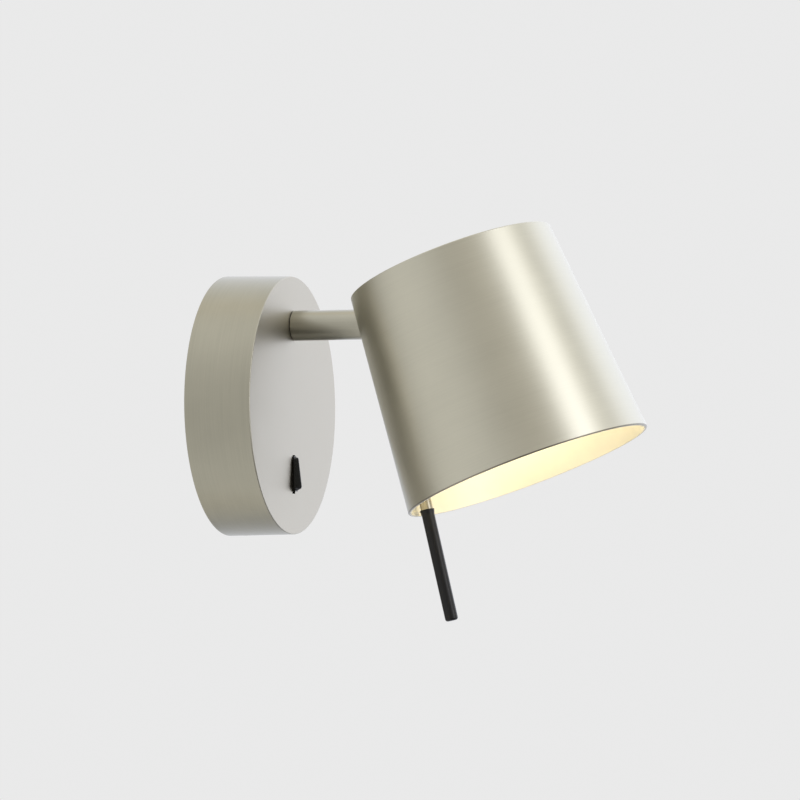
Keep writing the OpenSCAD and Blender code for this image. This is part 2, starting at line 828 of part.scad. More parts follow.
module shade_top() {
    disc_r = shade_top_d / 2 - shade_skin - fit;
    color(nickel) in_head() difference() {
        translate([0, -shade_reach, disc_low_z])
            cylinder(r1 = disc_r + top_t * shade_taper, r2 = disc_r, h = top_t, $fn = 180);
        each_bracket_screw() {
            screw_head(fit);
            rod_between(bracket_screw_r + loose, -top_t - cut, 0);
            rod_between(bracket_head_r + fit, 0, cut);
        }
    }
}

module bracket_screws() {
    socket = 0.9;
    color(steel) in_head() each_bracket_screw() difference() {
        union() {
            screw_head();
            rod_between(bracket_screw_r, -top_t - bracket_screw_len, -top_t / 2);
        }
        hexagon(bracket_screw_r * 1.2, -socket, cut);
    }
}

module head_bracket() {
    color(steel) in_head() difference() {
        union() {
            box([-beam_half, beam_end, plate_low_z], [beam_half, beam_start, disc_low_z]);
            rotate([0, 90, 0]) rod_between(pivot_eye_r, -tongue_half, tongue_half);
            rotate([90, 0, 90]) translate([0, 0, -tongue_half]) linear_extrude(2 * tongue_half)
                polygon([[0, pivot_eye_r], [beam_start, disc_low_z], [web_end, disc_low_z],
                    [web_end, plate_low_z], [2 * beam_start, -boss_low / 2], [-rod_reach, 2 - boss_low],
                    [boss_r - rod_reach, -boss_low / 2], [0, -pivot_eye_r]]);
            down_handle() rod_between(boss_r, boss_top, boss_low);
        }
        rotate([0, 90, 0]) rod_between(tilt_bolt_r + running, -tongue_half - cut, tongue_half + cut);
        down_handle() rod_between(rod_tip_r + fit, boss_low - rod_tip_len - 1, boss_low + cut);
        translate([0, -shade_reach, 0]) rod_between(nipple_r + fit, plate_low_z - cut, disc_low_z + cut);
        box([-groove_half, -shade_reach, disc_low_z - groove_deep],
            [groove_half, groove_start, disc_low_z + cut]);
        each_bracket_screw() rod_between(bracket_screw_r + fit, -top_t - beam_t - cut, cut);
    }
}

module holder_nipple() {
    color(steel) on_shade_axis() ring(nipple_r, nipple_bore_r, nipple_low, nipple_top);
}

module holder_cap() {
    color(black) on_shade_axis() difference() {
        rod_between(holder_r, holder_split, plate_low_z);
        rod_between(holder_r - holder_wall, holder_split - cut, plate_low_z - holder_cap_t);
        rod_between(nipple_r + fit, plate_low_z - holder_cap_t - cut, plate_low_z + cut);
    }
}

module holder_body() {
    color(black) on_shade_axis() difference() {
        union() {
            rod_between(holder_r, holder_low, holder_split);
            rod_between(holder_r - holder_wall - fit, holder_split, holder_neck_z);
        }
        rod_between(shell_r + shell_t + fit, holder_low - cut, holder_neck_z + cut);
    }
}

module holder_shell() {
    color(brass) on_shade_axis() ring(shell_r + shell_t, shell_r, holder_low + shell_inset, holder_neck_z);
}

// Leaf that presses on the lamp's tip, across the top of the holder's body
module holder_contact() {
    leaf_root = holder_wall + 0.6 - holder_r;
    color(brass) on_shade_axis() {
        box([-leaf_half_w, leaf_root, leaf_low], [leaf_half_w, 2.5, leaf_low + holder_leaf_t]);
        box([-leaf_half_w, leaf_root, holder_neck_z], [leaf_half_w, leaf_root + 2, leaf_low]);
    }
}

module lamp_cap() {
    color(nickel) on_shade_axis() rod_between(cap_r, cap_low, lamp_top - tip_len);
}

module lamp_contact() {
    color(black) on_shade_axis() translate([0, 0, lamp_top - tip_len])
        cylinder(r1 = cap_r - 1, r2 = 2.5, h = tip_len);
}

module glass_neck(wall, h) {
    cylinder(r1 = neck_low_r - wall, r2 = neck_r - wall, h = h);
}

module lamp_glass() {
    color(cream) on_shade_axis() difference() {
        union() {
            translate([0, 0, glass_z]) sphere(r = glass_r);
            translate([0, 0, cap_low - neck_drop]) glass_neck(0, neck_drop);
        }
        translate([0, 0, glass_z]) sphere(r = glass_r - glass_wall);
        translate([0, 0, cap_low - neck_drop - cut]) glass_neck(glass_wall, neck_drop + cut - glass_wall);
    }
}

// Handle

module handle_rod() {
    color(nickel) on_handle() {
        rod_between(rod_tip_r, boss_low - rod_tip_len, boss_low + handle_nut_t);
        rod_between(rod_d / 2, boss_low + handle_nut_t, sleeve_from);
        rod_between(tang_r, sleeve_from, sleeve_from + tang_len);
    }
}

module handle_nut() {
    color(steel) on_handle() difference() {
        hexagon(handle_nut_af, boss_low, boss_low + handle_nut_t);
        rod_between(rod_tip_r + fit, boss_low - cut, boss_low + handle_nut_t + cut);
    }
}

module handle_sleeve() {
    end = sleeve_from + sleeve_len;
    color(black) on_handle() difference() {
        union() {
            translate([0, 0, sleeve_from]) cylinder(r1 = collar_d / 2, r2 = sleeve_d / 2, h = collar_len);
            rod_between(sleeve_d / 2, sleeve_from + collar_len, end - 0.8);
            translate([0, 0, end - 0.8]) cylinder(r1 = sleeve_d / 2, r2 = sleeve_d / 2 - 0.6, h = 0.8);
        }
        rod_between(tang_r + fit, sleeve_from - cut, sleeve_from + tang_len + 1);
    }
}

// Leads

module supply_live_lead() {
    color(brown) on_wall() lead(supply_live_points);
}

module switched_live_lead() {
    color(brown) on_wall() lead(switched_live_points);
}

module supply_neutral_lead() {
    color(blue) on_wall() lead(supply_neutral_points);
}

module earth_lead() {
    color(green) on_wall() lead(earth_points);
}

module arm_live_lead() {
    color(brown) on_arm() translate([lead_side, 0, 0]) rod_between(lead_r, arm_lead_start, arm_lead_end);
}

module arm_neutral_lead() {
    color(blue) on_arm() translate([-lead_side, 0, 0]) rod_between(lead_r, arm_lead_start, arm_lead_end);
}

// From the pivot along the bracket's groove, down through the nipple and on to a terminal
module head_lead(x, terminal) {
    groove_z = disc_low_z - groove_deep + lead_r + 0.1;
    on_shade_axis() lead([[x, shade_reach + groove_start - 0.5, groove_z],
        [x, shade_reach - head_lead_level, groove_z], [x, 10, groove_z], [x, 3.4, groove_z - 0.2],
        [x, 1, plate_low_z], [x, 0.6, nipple_low],
        [(x + terminal[0]) / 2, terminal[1] / 2, nipple_low - 2.6], terminal]);
}

module head_live_lead() {
    color(brown) head_lead(head_lead_side, [head_lead_side, -7, leaf_low + holder_leaf_t + lead_r + 0.1]);
}

module head_neutral_lead() {
    color(blue) head_lead(-head_lead_side, [-6.5, 5, holder_neck_z + lead_r + 0.1]);
}

wall_cover();
mounting_bracket();
cover_screws();
cable_grommet();
terminal_block();
terminal_clamps();
terminal_screws();
block_screws();
earth_screw();
earth_tag();
switch_housing();
switch_pin();
switch_tags();
switch_nuts();
arm_bush();
stop_pin();
supply_live_lead();
switched_live_lead();
supply_neutral_lead();
earth_lead();
switch_rocker();
contact_bridge();
arm_tube();
arm_stud();
arm_nut();
spring_washer();
stop_washer();
tilt_bolt();
tilt_nut();
friction_washers();
arm_live_lead();
arm_neutral_lead();
shade();
shade_top();
bracket_screws();
head_bracket();
holder_nipple();
holder_cap();
holder_body();
holder_shell();
holder_contact();
lamp_cap();
lamp_contact();
lamp_glass();
head_live_lead();
head_neutral_lead();
handle_rod();
handle_nut();
handle_sleeve();
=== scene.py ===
import json
import math

import bmesh
import bpy
from mathutils import Matrix, Vector


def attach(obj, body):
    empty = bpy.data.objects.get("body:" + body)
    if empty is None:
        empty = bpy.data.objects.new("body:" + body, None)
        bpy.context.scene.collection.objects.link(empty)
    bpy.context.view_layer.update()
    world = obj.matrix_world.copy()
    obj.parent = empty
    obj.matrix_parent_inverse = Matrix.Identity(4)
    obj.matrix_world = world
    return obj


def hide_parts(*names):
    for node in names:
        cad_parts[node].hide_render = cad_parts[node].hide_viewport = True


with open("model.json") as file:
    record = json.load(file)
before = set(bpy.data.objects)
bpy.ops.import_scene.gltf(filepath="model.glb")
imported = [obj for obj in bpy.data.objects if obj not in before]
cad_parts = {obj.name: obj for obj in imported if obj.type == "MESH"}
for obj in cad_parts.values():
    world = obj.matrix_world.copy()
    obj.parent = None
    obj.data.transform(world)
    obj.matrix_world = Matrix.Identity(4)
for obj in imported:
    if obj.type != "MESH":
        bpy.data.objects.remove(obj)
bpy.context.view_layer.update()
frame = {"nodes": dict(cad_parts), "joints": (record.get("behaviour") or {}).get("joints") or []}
nodes = frame["nodes"]
joints = {joint["name"]: joint for joint in frame["joints"]}
print("frame loaded:", len(nodes), "nodes")

# Outlines are written in millimetres, the scene is in metres
mm = 0.001


def moved(x, y, z):
    return Matrix.Translation((x * mm, y * mm, z * mm))


def turned(degrees, axis):
    return Matrix.Rotation(math.radians(degrees), 4, axis)


# How the head and the rocker stand: degrees, and millimetres from the tilt bolt
stance = {"tilt": 21, "shadeOut": 41.47, "shadeUp": 0.9, "rodOut": 6.05, "rodTurn": 187.7,
          "rockerLean": 3}

# Places: Z out of the plate, along the arm, up the shade's axis, down the handle's rod
pivot = Vector(joints["head_tilt"]["pos_m"])
switchPin = Vector(joints["switch_rock"]["pos_m"])
onWall = turned(90, "X")
onArm = Matrix.Translation((0, 0, pivot.z)) @ onWall
inHead = Matrix.Translation(pivot) @ turned(-stance["tilt"], "X")
onShade = inHead @ moved(0, -stance["shadeOut"], stance["shadeUp"])
onHandle = inHead @ moved(0, -stance["rodOut"], 0) @ turned(stance["rodTurn"], "X")
atSwitch = Matrix.Translation(switchPin) @ onWall
atRocker = atSwitch @ turned(-stance["rockerLean"], "X")


# Node trees

def addNode(tree, kind, inputs=None, **settings):
    node = tree.nodes.new(kind)
    for key, value in settings.items():
        setattr(node, key, value)
    for key, value in (inputs or {}).items():
        socket = node.inputs[key]
        if isinstance(value, bpy.types.NodeSocket):
            tree.links.new(value, socket)
        else:
            socket.default_value = value
    return node


def sums(tree, a, b, operation="ADD"):
    return addNode(tree, "ShaderNodeMath", {0: a, 1: b}, operation=operation).outputs["Value"]


def ramp(tree, value, low, high, start, end):
    return addNode(tree, "ShaderNodeMapRange", {
        "Value": value, "From Min": low, "From Max": high,
        "To Min": start, "To Max": end}).outputs["Result"]


def noise(tree, where, scale, detail=3.0):
    return addNode(tree, "ShaderNodeTexNoise", {
        "Vector": where, "Scale": scale, "Detail": detail}).outputs["Fac"]


def tinted(tree, factor, a, b, blend="MIX"):
    return addNode(tree, "ShaderNodeMix", {"Factor": factor, "A": a, "B": b},
                   data_type="RGBA", blend_type=blend).outputs["Result"]


# A new material with its tree, its shader and the object's own coordinates
def blankMaterial(name):
    material = bpy.data.materials.new(name)
    material.use_nodes = True
    tree = material.node_tree
    where = addNode(tree, "ShaderNodeTexCoord").outputs["Object"]
    return material, tree, tree.nodes["Principled BSDF"], where


def feedShader(tree, shader, metallic, tone, rough, relief):
    tree.links.new(tone, shader.inputs["Base Color"])
    tree.links.new(rough, shader.inputs["Roughness"])
    tree.links.new(relief.outputs["Normal"], shader.inputs["Normal"])
    shader.inputs["Metallic"].default_value = metallic


# How much the gloss varies over a plain finish and over a brushed one
plainGloss, brushedGloss = 0.05, 0.04

# How far in metres a brushed line runs, and the middle band of two noises added up
lineRun = {"along": 1 / 6, "round": 1 / 30}
noiseBand = (0.7, 1.3)


# Plain finish with a fine grain in its colour, its gloss and its surface
def newMaterial(name, color, roughness, metallic=0.0, spread=0.06, grain=400, bump=0.00002,
                extra=None):
    material, tree, shader, where = blankMaterial(name)
    speck = noise(tree, where, grain)
    tone = tinted(tree, speck, (*[c * (1 - spread) for c in color], 1),
                  (*[min(1, c * (1 + spread)) for c in color], 1))
    rough = ramp(tree, speck, 0.0, 1.0, roughness * (1 - plainGloss), roughness * (1 + plainGloss))
    relief = addNode(tree, "ShaderNodeBump", {"Height": speck, "Strength": 0.4, "Distance": bump})
    feedShader(tree, shader, metallic, tone, rough, relief)
    for key, value in (extra or {}).items():
        shader.inputs[key].default_value = value
    return material


# Fine lines round the piece's own axis or along it, over soft clouds
def brushedMetal(name, color, place, roughness=0.3, aniso=0.5, lines=2600, bump=0.000006,
                 cloud=0.05, along=False):
    material, tree, shader, where = blankMaterial(name)
    fine, run = 1 / lines, lineRun["along" if along else "round"]
    grid = (fine, fine, run) if along else (run, run, fine)
    local = addNode(tree, "ShaderNodeMapping", {
        "Vector": where, "Location": place.to_translation(), "Rotation": place.to_euler("XYZ"),
        "Scale": grid}, vector_type="TEXTURE").outputs["Vector"]
    streak = noise(tree, local, 1.0, 2.0)
    both = sums(tree, streak, noise(tree, where, 60))
    tone = ramp(tree, both, *noiseBand, 1 - cloud, 1 + cloud)
    shade = tinted(tree, 1.0, (*color, 1), tone, "MULTIPLY")
    rough = ramp(tree, both, *noiseBand, roughness * (1 - brushedGloss),
                 roughness * (1 + brushedGloss))
    relief = addNode(tree, "ShaderNodeBump", {"Height": streak, "Strength": 0.5, "Distance": bump})
    feedShader(tree, shader, 1.0, shade, rough, relief)
    if aniso:
        tangent = addNode(tree, "ShaderNodeTangent", direction_type="UV_MAP", uv_map="UVMap")
        tree.links.new(tangent.outputs["Tangent"], shader.inputs["Tangent"])
        shader.inputs["Anisotropic"].default_value = aniso
        shader.inputs["Anisotropic Rotation"].default_value = 0.25
    return material


# Meshes

def newPiece(name, mesh):
    piece = bpy.data.objects.new(name, mesh)
    bpy.context.scene.collection.objects.link(piece)
    return piece


def builtPiece(name, build):
    mesh = bpy.data.meshes.new(name)
    build.to_mesh(mesh)
    build.free()
    return newPiece(name, mesh)


# Fillets the outline's corners that give a third number, in steps of at most nine degrees
def rounded(points, closed):
    smooth = []
    for i, point in enumerate(points):
        here = Vector(point[:2])
        radius = point[2] if len(point) > 2 else 0
        if not radius or (not closed and i in (0, len(points) - 1)):
            smooth.append(here)
            continue
        before = (Vector(points[i - 1][:2]) - here).normalized()
        after = (Vector(points[(i + 1) % len(points)][:2]) - here).normalized()
        half = before.angle(after) / 2
        middle = here + (before + after).normalized() * (radius / math.sin(half))
        start = here + before * (radius / math.tan(half)) - middle
        end = here + after * (radius / math.tan(half)) - middle
        sweep = start.angle_signed(end)
        steps = max(2, math.ceil(abs(sweep) / math.radians(9)))
        for step in range(steps + 1):
            angle = -sweep * step / steps
            smooth.append(middle + Vector((
                start.x * math.cos(angle) - start.y * math.sin(angle),
                start.x * math.sin(angle) + start.y * math.cos(angle))))
    return smooth


# Turns an outline of radius, height and fillet; it is a ring unless it starts on the axis
def lathe(name, outline, place, segments=96):
    closed = outline[0][0] > 0
    points = rounded(outline, closed)
    build = bmesh.new()
    layer = build.loops.layers.uv.new("UVMap")
    rings = []
    for radius, height in points:
        count = segments if radius > 1e-6 else 1
        rings.append([build.verts.new(place @ Vector((
            radius * mm * math.cos(2 * math.pi * i / segments),
            radius * mm * math.sin(2 * math.pi * i / segments), height * mm)))
            for i in range(count)])
    last = len(points) if closed else len(points) - 1
    along = [0.0]
    for i in range(last):
        along.append(along[-1] + (points[(i + 1) % len(points)] - points[i]).length)
    for i in range(last):
        low, high = rings[i], rings[(i + 1) % len(points)]
        for k in range(segments):
            corners = []
            for ring, v, u in ((low, i, k), (low, i, k + 1),
                               (high, i + 1, k + 1), (high, i + 1, k)):
                vert = ring[u % len(ring)]
                if vert not in [c[0] for c in corners]:
                    corners.append((vert, (u / segments, along[v] / along[-1])))
            face = build.faces.new([c[0] for c in corners])
            for loop, corner in zip(face.loops, corners):
                loop[layer].uv = corner[1]
    bmesh.ops.recalc_face_normals(build, faces=build.faces)
    return builtPiece(name, build)


# Plain round bar, mostly a cutter
def drum(name, radius, low, high, place, segments):
    return lathe(name, [(0, low), (radius, low), (radius, high), (0, high)], place, segments)


# Upright block over an outline of x and y
def prism(name, outline, low, high, place):
    build = bmesh.new()
    build.loops.layers.uv.new("UVMap")
    rings = [[build.verts.new(place @ Vector((x * mm, y * mm, z * mm))) for x, y in outline]
             for z in (low, high)]
    build.faces.new(rings[0][::-1])
    build.faces.new(rings[1])
    for i in range(len(outline)):
        k = (i + 1) % len(outline)
        build.faces.new((rings[0][i], rings[0][k], rings[1][k], rings[1][i]))
    bmesh.ops.recalc_face_normals(build, faces=build.faces)
    return builtPiece(name, build)


def squareBar(name, halfX, halfY, low, high, place):
    return prism(name, [(-halfX, -halfY), (halfX, -halfY), (halfX, halfY), (-halfX, halfY)],
                 low, high, place)


# Outline with round ends
def stadium(halfWidth, low, high, steps=24):
    points = []
    for start, middle in ((0, high - halfWidth), (math.pi, low + halfWidth)):
        for i in range(steps + 1):
            angle = start + math.pi * i / steps
            points.append((halfWidth * math.cos(angle), middle + halfWidth * math.sin(angle)))
    return points


# Keeps the evaluated mesh and drops the modifiers
def applied(piece):
    graph = bpy.context.evaluated_depsgraph_get()
    graph.update()
    mesh = bpy.data.meshes.new_from_object(
        piece.evaluated_get(graph), preserve_all_data_layers=True, depsgraph=graph)
    piece.modifiers.clear()
    piece.data = mesh
    mesh.name = piece.name


# Takes the cutters out of the piece, and all that is outside the keep block
def cutAway(piece, cutters, keep=None):
    blocks = cutters + ([keep] if keep else [])
    for block in blocks:
        modifier = piece.modifiers.new("cut", "BOOLEAN")
        modifier.object = block
        modifier.solver = "EXACT"
        modifier.operation = "INTERSECT" if block is keep else "DIFFERENCE"
    applied(piece)
    for block in blocks:
        bpy.data.objects.remove(block)


def joined(piece, others):
    build = bmesh.new()
    build.from_mesh(piece.data)
    for other in others:
        build.from_mesh(other.data)
        bpy.data.objects.remove(other)
    build.to_mesh(piece.data)
    build.free()


# Clean mesh, small rounded edges where asked, smooth shading that keeps flats flat
def settle(piece, material, edge=0, angle=30):
    build = bmesh.new()
    build.from_mesh(piece.data)
    bmesh.ops.remove_doubles(build, verts=build.verts, dist=1e-7)
    bmesh.ops.recalc_face_normals(build, faces=build.faces)
    build.to_mesh(piece.data)
    build.free()
    if edge:
        bevel = piece.modifiers.new("edges", "BEVEL")
        bevel.width = edge * mm
        bevel.segments = 2
        bevel.limit_method = "ANGLE"
        bevel.angle_limit = math.radians(40)
        applied(piece)
    piece.data.shade_smooth()
    piece.data.set_sharp_from_angle(angle=math.radians(angle))
    weigh = piece.modifiers.new("weigh", "WEIGHTED_NORMAL")
    weigh.keep_sharp = True
    applied(piece)
    piece.data.materials.clear()
    piece.data.materials.append(material)
    for face in piece.data.polygons:
        face.material_index = 0


# The CAD node's own shape with its edges broken
def softened(node, name, material, edge):
    piece = newPiece(name, nodes[node].data.copy())
    build = bmesh.new()
    build.from_mesh(piece.data)
    bmesh.ops.remove_doubles(build, verts=build.verts, dist=1e-6)
    bmesh.ops.dissolve_limit(build, angle_limit=math.radians(0.5), verts=build.verts,
                             edges=build.edges)
    build.to_mesh(piece.data)
    build.free()
    settle(piece, material, edge)
    return piece


# A piece made by a node tree, kept as a plain mesh
def grown(name, tree, values, place, points=(), links=()):
    mesh = bpy.data.meshes.new(name)
    mesh.from_pydata([Vector(p) * mm for p in points], list(links), [])
    piece = newPiece(name, mesh)
    modifier = piece.modifiers.new(tree.name, "NODES")
    modifier.node_group = tree
    for item in tree.interface.items_tree:
        if item.item_type == "SOCKET" and item.in_out == "INPUT" and item.name in values:
            modifier[item.identifier] = values[item.name]
    applied(piece)
    piece.data.transform(place)
    return piece


# Gives the piece its body and hides the CAD node that it stands for
def carry(piece, body, slot, *replaced):
    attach(piece, body)
    if replaced:
        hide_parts(*replaced)


def newTree(name, inputs):
    tree = bpy.data.node_groups.new(name, "GeometryNodeTree")
    tree.interface.new_socket("Geometry", in_out="INPUT", socket_type="NodeSocketGeometry")
    for label, kind, value in inputs + [("Material", "Material", None)]:
        socket = tree.interface.new_socket(label, in_out="INPUT", socket_type="NodeSocket" + kind)
        if value is not None:
            socket.default_value = value
    tree.interface.new_socket("Geometry", in_out="OUTPUT", socket_type="NodeSocketGeometry")
    return tree, addNode(tree, "NodeGroupInput").outputs


def endTree(tree, mesh, material):
    real = addNode(tree, "GeometryNodeRealizeInstances", {"Geometry": mesh})
    painted = addNode(tree, "GeometryNodeSetMaterial", {
        "Geometry": real.outputs["Geometry"], "Material": material})
    addNode(tree, "NodeGroupOutput", {"Geometry": painted.outputs["Geometry"]})
    return tree


def vector(tree, x=0.0, y=0.0, z=0.0):
    return addNode(tree, "ShaderNodeCombineXYZ", {"X": x, "Y": y, "Z": z}).outputs["Vector"]


def circle(tree, resolution, radius):
    return addNode(tree, "GeometryNodeCurvePrimitiveCircle", {
        "Resolution": resolution, "Radius": radius}, mode="RADIUS").outputs["Curve"]


def swept(tree, path, profile, caps=True):
    return addNode(tree, "GeometryNodeCurveToMesh", {
        "Curve": path, "Profile Curve": profile, "Fill Caps": caps}).outputs["Mesh"]


# Cone of sheet turned on its axis, open at both ends, with rounded rims
def turnedShadeTree():
    tree, given = newTree("turnedShade", [
        ("Top radius", "Float", 0.0442), ("Mouth radius", "Float", 0.0525),
        ("Length", "Float", 0.0933), ("Skin", "Float", 0.0013), ("Rim round", "Float", 0.0003),
        ("Segments", "Int", 192)])
    flare = sums(tree, given["Mouth radius"], given["Top radius"], "SUBTRACT")
    innerMouth = sums(tree, flare, given["Skin"], "SUBTRACT")
    innerTop = sums(tree, 0.0, given["Skin"], "SUBTRACT")
    outline = addNode(tree, "GeometryNodeCurvePrimitiveQuadrilateral", {
        "Point 1": vector(tree), "Point 2": vector(tree, flare, given["Length"]),
        "Point 3": vector(tree, innerMouth, given["Length"]), "Point 4": vector(tree, innerTop)},
        mode="POINTS")
    # The two outside corners take the whole radius, the inside ones a small share of it
    innerShare = 0.15
    corner = addNode(tree, "GeometryNodeInputIndex").outputs["Index"]
    outside = sums(tree, corner, 1.5, "LESS_THAN")
    share = sums(tree, sums(tree, outside, 1 - innerShare, "MULTIPLY"), innerShare)
    soft = addNode(tree, "GeometryNodeFilletCurve", {
        "Curve": outline.outputs["Curve"], "Count": 4,
        "Radius": sums(tree, given["Rim round"], share, "MULTIPLY")}, mode="POLY")
    marks = []
    for curve in (circle(tree, given["Segments"], given["Top radius"]), soft.outputs["Curve"]):
        factor = addNode(tree, "GeometryNodeSplineParameter").outputs["Factor"]
        keep = addNode(tree, "GeometryNodeCaptureAttribute")
        keep.capture_items.new("FLOAT", "Factor")
        tree.links.new(curve, keep.inputs["Geometry"])
        tree.links.new(factor, keep.inputs["Factor"])
        marks.append(keep.outputs)
    mapped = addNode(tree, "GeometryNodeStoreNamedAttribute", {
        "Geometry": swept(tree, marks[0]["Geometry"], marks[1]["Geometry"], False),
        "Name": "UVMap", "Value": vector(tree, marks[0]["Factor"], marks[1]["Factor"])},
        data_type="FLOAT2", domain="CORNER")
    return endTree(tree, mapped.outputs["Geometry"], given["Material"])


# Helical ridge of a screw thread
def threadTree():
    tree, given = newTree("screwThread", [
        ("Radius", "Float", 0.005), ("Ridge", "Float", 0.0003), ("Pitch", "Float", 0.001),
        ("Turns", "Float", 8.0)])
    middle = sums(tree, given["Radius"], given["Ridge"], "SUBTRACT")
    path = addNode(tree, "GeometryNodeCurveSpiral", {
        "Resolution": 48, "Rotations": given["Turns"], "Start Radius": middle,
        "End Radius": middle, "Height": sums(tree, given["Turns"], given["Pitch"], "MULTIPLY")})
    ridge = swept(tree, path.outputs["Curve"], circle(tree, 8, given["Ridge"]))
    return endTree(tree, ridge, given["Material"])


# Insulated lead along the points of the source mesh
def leadTree():
    tree, given = newTree("leadPath", [("Radius", "Float", 0.0009), ("Step", "Float", 0.0008)])
    line = addNode(tree, "GeometryNodeMeshToCurve", {"Mesh": given["Geometry"]})
    bent = addNode(tree, "GeometryNodeCurveSplineType", {"Curve": line.outputs["Curve"]},
                   spline_type="CATMULL_ROM")
    fine = addNode(tree, "GeometryNodeSetSplineResolution", {
        "Geometry": bent.outputs["Curve"], "Resolution": 12})
    even = addNode(tree, "GeometryNodeResampleCurve", {
        "Curve": fine.outputs["Geometry"], "Length": given["Step"]}, mode="LENGTH")
    tube = swept(tree, even.outputs["Curve"], circle(tree, 20, given["Radius"]))
    return endTree(tree, tube, given["Material"])


# Screws standing at the points of the source mesh, heads up, with a slot or a socket
def screwTree():
    tree, given = newTree("headedScrews", [
        ("Head radius", "Float", 0.002), ("Head height", "Float", 0.0016),
        ("Under radius", "Float", 0.002), ("Shank radius", "Float", 0.0015),
        ("Shank length", "Float", 0.006), ("Drive sides", "Int", 4),
        ("Drive turn", "Float", 0.785398), ("Drive width", "Float", 0.0005),
        ("Drive length", "Float", 0.006), ("Drive depth", "Float", 0.0007)])
    head = addNode(tree, "GeometryNodeMeshCone", {
        "Vertices": 48, "Radius Top": given["Head radius"], "Radius Bottom": given["Under radius"],
        "Depth": given["Head height"]})
    shank = addNode(tree, "GeometryNodeMeshCylinder", {
        "Vertices": 32, "Radius": given["Shank radius"], "Depth": given["Shank length"]})
    # The shank reaches a tenth of a millimetre into the head
    half = sums(tree, given["Shank length"], -0.5, "MULTIPLY")
    lowered = addNode(tree, "GeometryNodeTransform", {
        "Geometry": shank.outputs["Mesh"],
        "Translation": vector(tree, z=sums(tree, half, 0.0001))})
    drive = addNode(tree, "GeometryNodeMeshCylinder", {
        "Vertices": given["Drive sides"], "Radius": 1.0,
        "Depth": sums(tree, given["Drive depth"], 2.0, "MULTIPLY")})
    turnedDrive = addNode(tree, "GeometryNodeTransform", {
        "Geometry": drive.outputs["Mesh"], "Rotation": vector(tree, z=given["Drive turn"])})
    sized = addNode(tree, "GeometryNodeTransform", {
        "Geometry": turnedDrive.outputs["Geometry"],
        "Translation": vector(tree, z=given["Head height"]),
        "Scale": vector(tree, given["Drive width"], given["Drive length"], 1.0)})
    whole = addNode(tree, "GeometryNodeMeshBoolean", operation="UNION", solver="EXACT")
    tree.links.new(head.outputs["Mesh"], whole.inputs["Mesh 2"])
    tree.links.new(lowered.outputs["Geometry"], whole.inputs["Mesh 2"])
    screw = addNode(tree, "GeometryNodeMeshBoolean", {"Mesh 1": whole.outputs["Mesh"]},
                    operation="DIFFERENCE", solver="EXACT")
    tree.links.new(sized.outputs["Geometry"], screw.inputs["Mesh 2"])
    spots = addNode(tree, "GeometryNodeMeshToPoints", {"Mesh": given["Geometry"]})
    row = addNode(tree, "GeometryNodeInstanceOnPoints", {
        "Points": spots.outputs["Points"], "Instance": screw.outputs["Mesh"]})
    return endTree(tree, row.outputs["Instances"], given["Material"])


shadeTree = turnedShadeTree()
ridgeTree = threadTree()
wireTree = leadTree()
headedTree = screwTree()
print("node trees ready")

# Finishes
# The plate's nickel is darker than the shade's: painted shade for the dark surroundings it would
# reflect beside the plate
plateShadedNickel = brushedMetal("plateShadedNickel", (0.445, 0.433, 0.362), onWall, roughness=0.4, aniso=0.45)
plateFace = newMaterial("plateFace", (0.482, 0.457, 0.39), 0.42, 1.0, grain=90, spread=0.02,
                        bump=0.000004)
armNickel = brushedMetal("armNickel", (0.47, 0.458, 0.39), onArm, roughness=0.32, aniso=0,
                         lines=2200, bump=0.000003, cloud=0.06, along=True)
shadeNickel = brushedMetal("shadeNickel", (0.593, 0.579, 0.494), onShade, roughness=0.41,
                           bump=0.000003, cloud=0.03)
shadeInner = newMaterial("shadeInner", (0.82, 0.785, 0.665), 0.52, 0.5, grain=200, spread=0.03,
                         bump=0.00001)
# Darker nickel for the rim's lower edge: painted shade, a dark reflection line put into the colour
rimPaintedShade = newMaterial("rimPaintedShade", (0.3, 0.285, 0.235), 0.35, 1.0, bump=0.000002)
# Darker than the other nickel: painted shade for the rod's dim reflections of the shade's inside
# near its wall
rodShadedNickel = newMaterial("rodShadedNickel", (0.385, 0.357, 0.285), 0.17, 1.0, grain=300, bump=0.000002)
zincSteel = newMaterial("zincSteel", (0.6, 0.61, 0.62), 0.34, 1.0, grain=900, spread=0.12)
brass = newMaterial("brass", (0.75, 0.55, 0.24), 0.28, 1.0, grain=700)
blackNylon = newMaterial("blackNylon", (0.006, 0.006, 0.006), 0.33, grain=1800, bump=0.000004,
                         extra={"Specular IOR Level": 0.3})
# Lighter than the black nylon the bush is made of: painted light in the shaded gap at the arm's
# root
bushPaintedLightGrey = newMaterial("bushPaintedLightGrey", (0.045, 0.042, 0.036), 0.45, grain=1800, bump=0.000004)
sleeveBlack = newMaterial("sleeveBlack", (0.008, 0.008, 0.009), 0.36, grain=1800, bump=0.000004,
                          extra={"Specular IOR Level": 0.3})
rubberBlack = newMaterial("rubberBlack", (0.03, 0.03, 0.03), 0.75, grain=1500)
terminalCream = newMaterial("terminalCream", (0.75, 0.7, 0.58), 0.4, grain=500)
capMetal = newMaterial("capMetal", (0.72, 0.71, 0.68), 0.25, 1.0, grain=600)
capInsulator = newMaterial("capInsulator", (0.02, 0.02, 0.025), 0.2, grain=600)
leadBrown = newMaterial("leadBrown", (0.16, 0.06, 0.025), 0.42, grain=900)
leadBlue = newMaterial("leadBlue", (0.02, 0.09, 0.42), 0.42, grain=900)
leadEarth = newMaterial("leadEarth", (0.12, 0.36, 0.03), 0.42, grain=900)
opalGlass = newMaterial("opalGlass", (0.9, 0.88, 0.82), 0.25, grain=200, spread=0.02,
                        bump=0.000001, extra={"Emission Color": (1.0, 0.88, 0.61, 1),
                                              "Emission Strength": 4.9})
print("finishes ready")

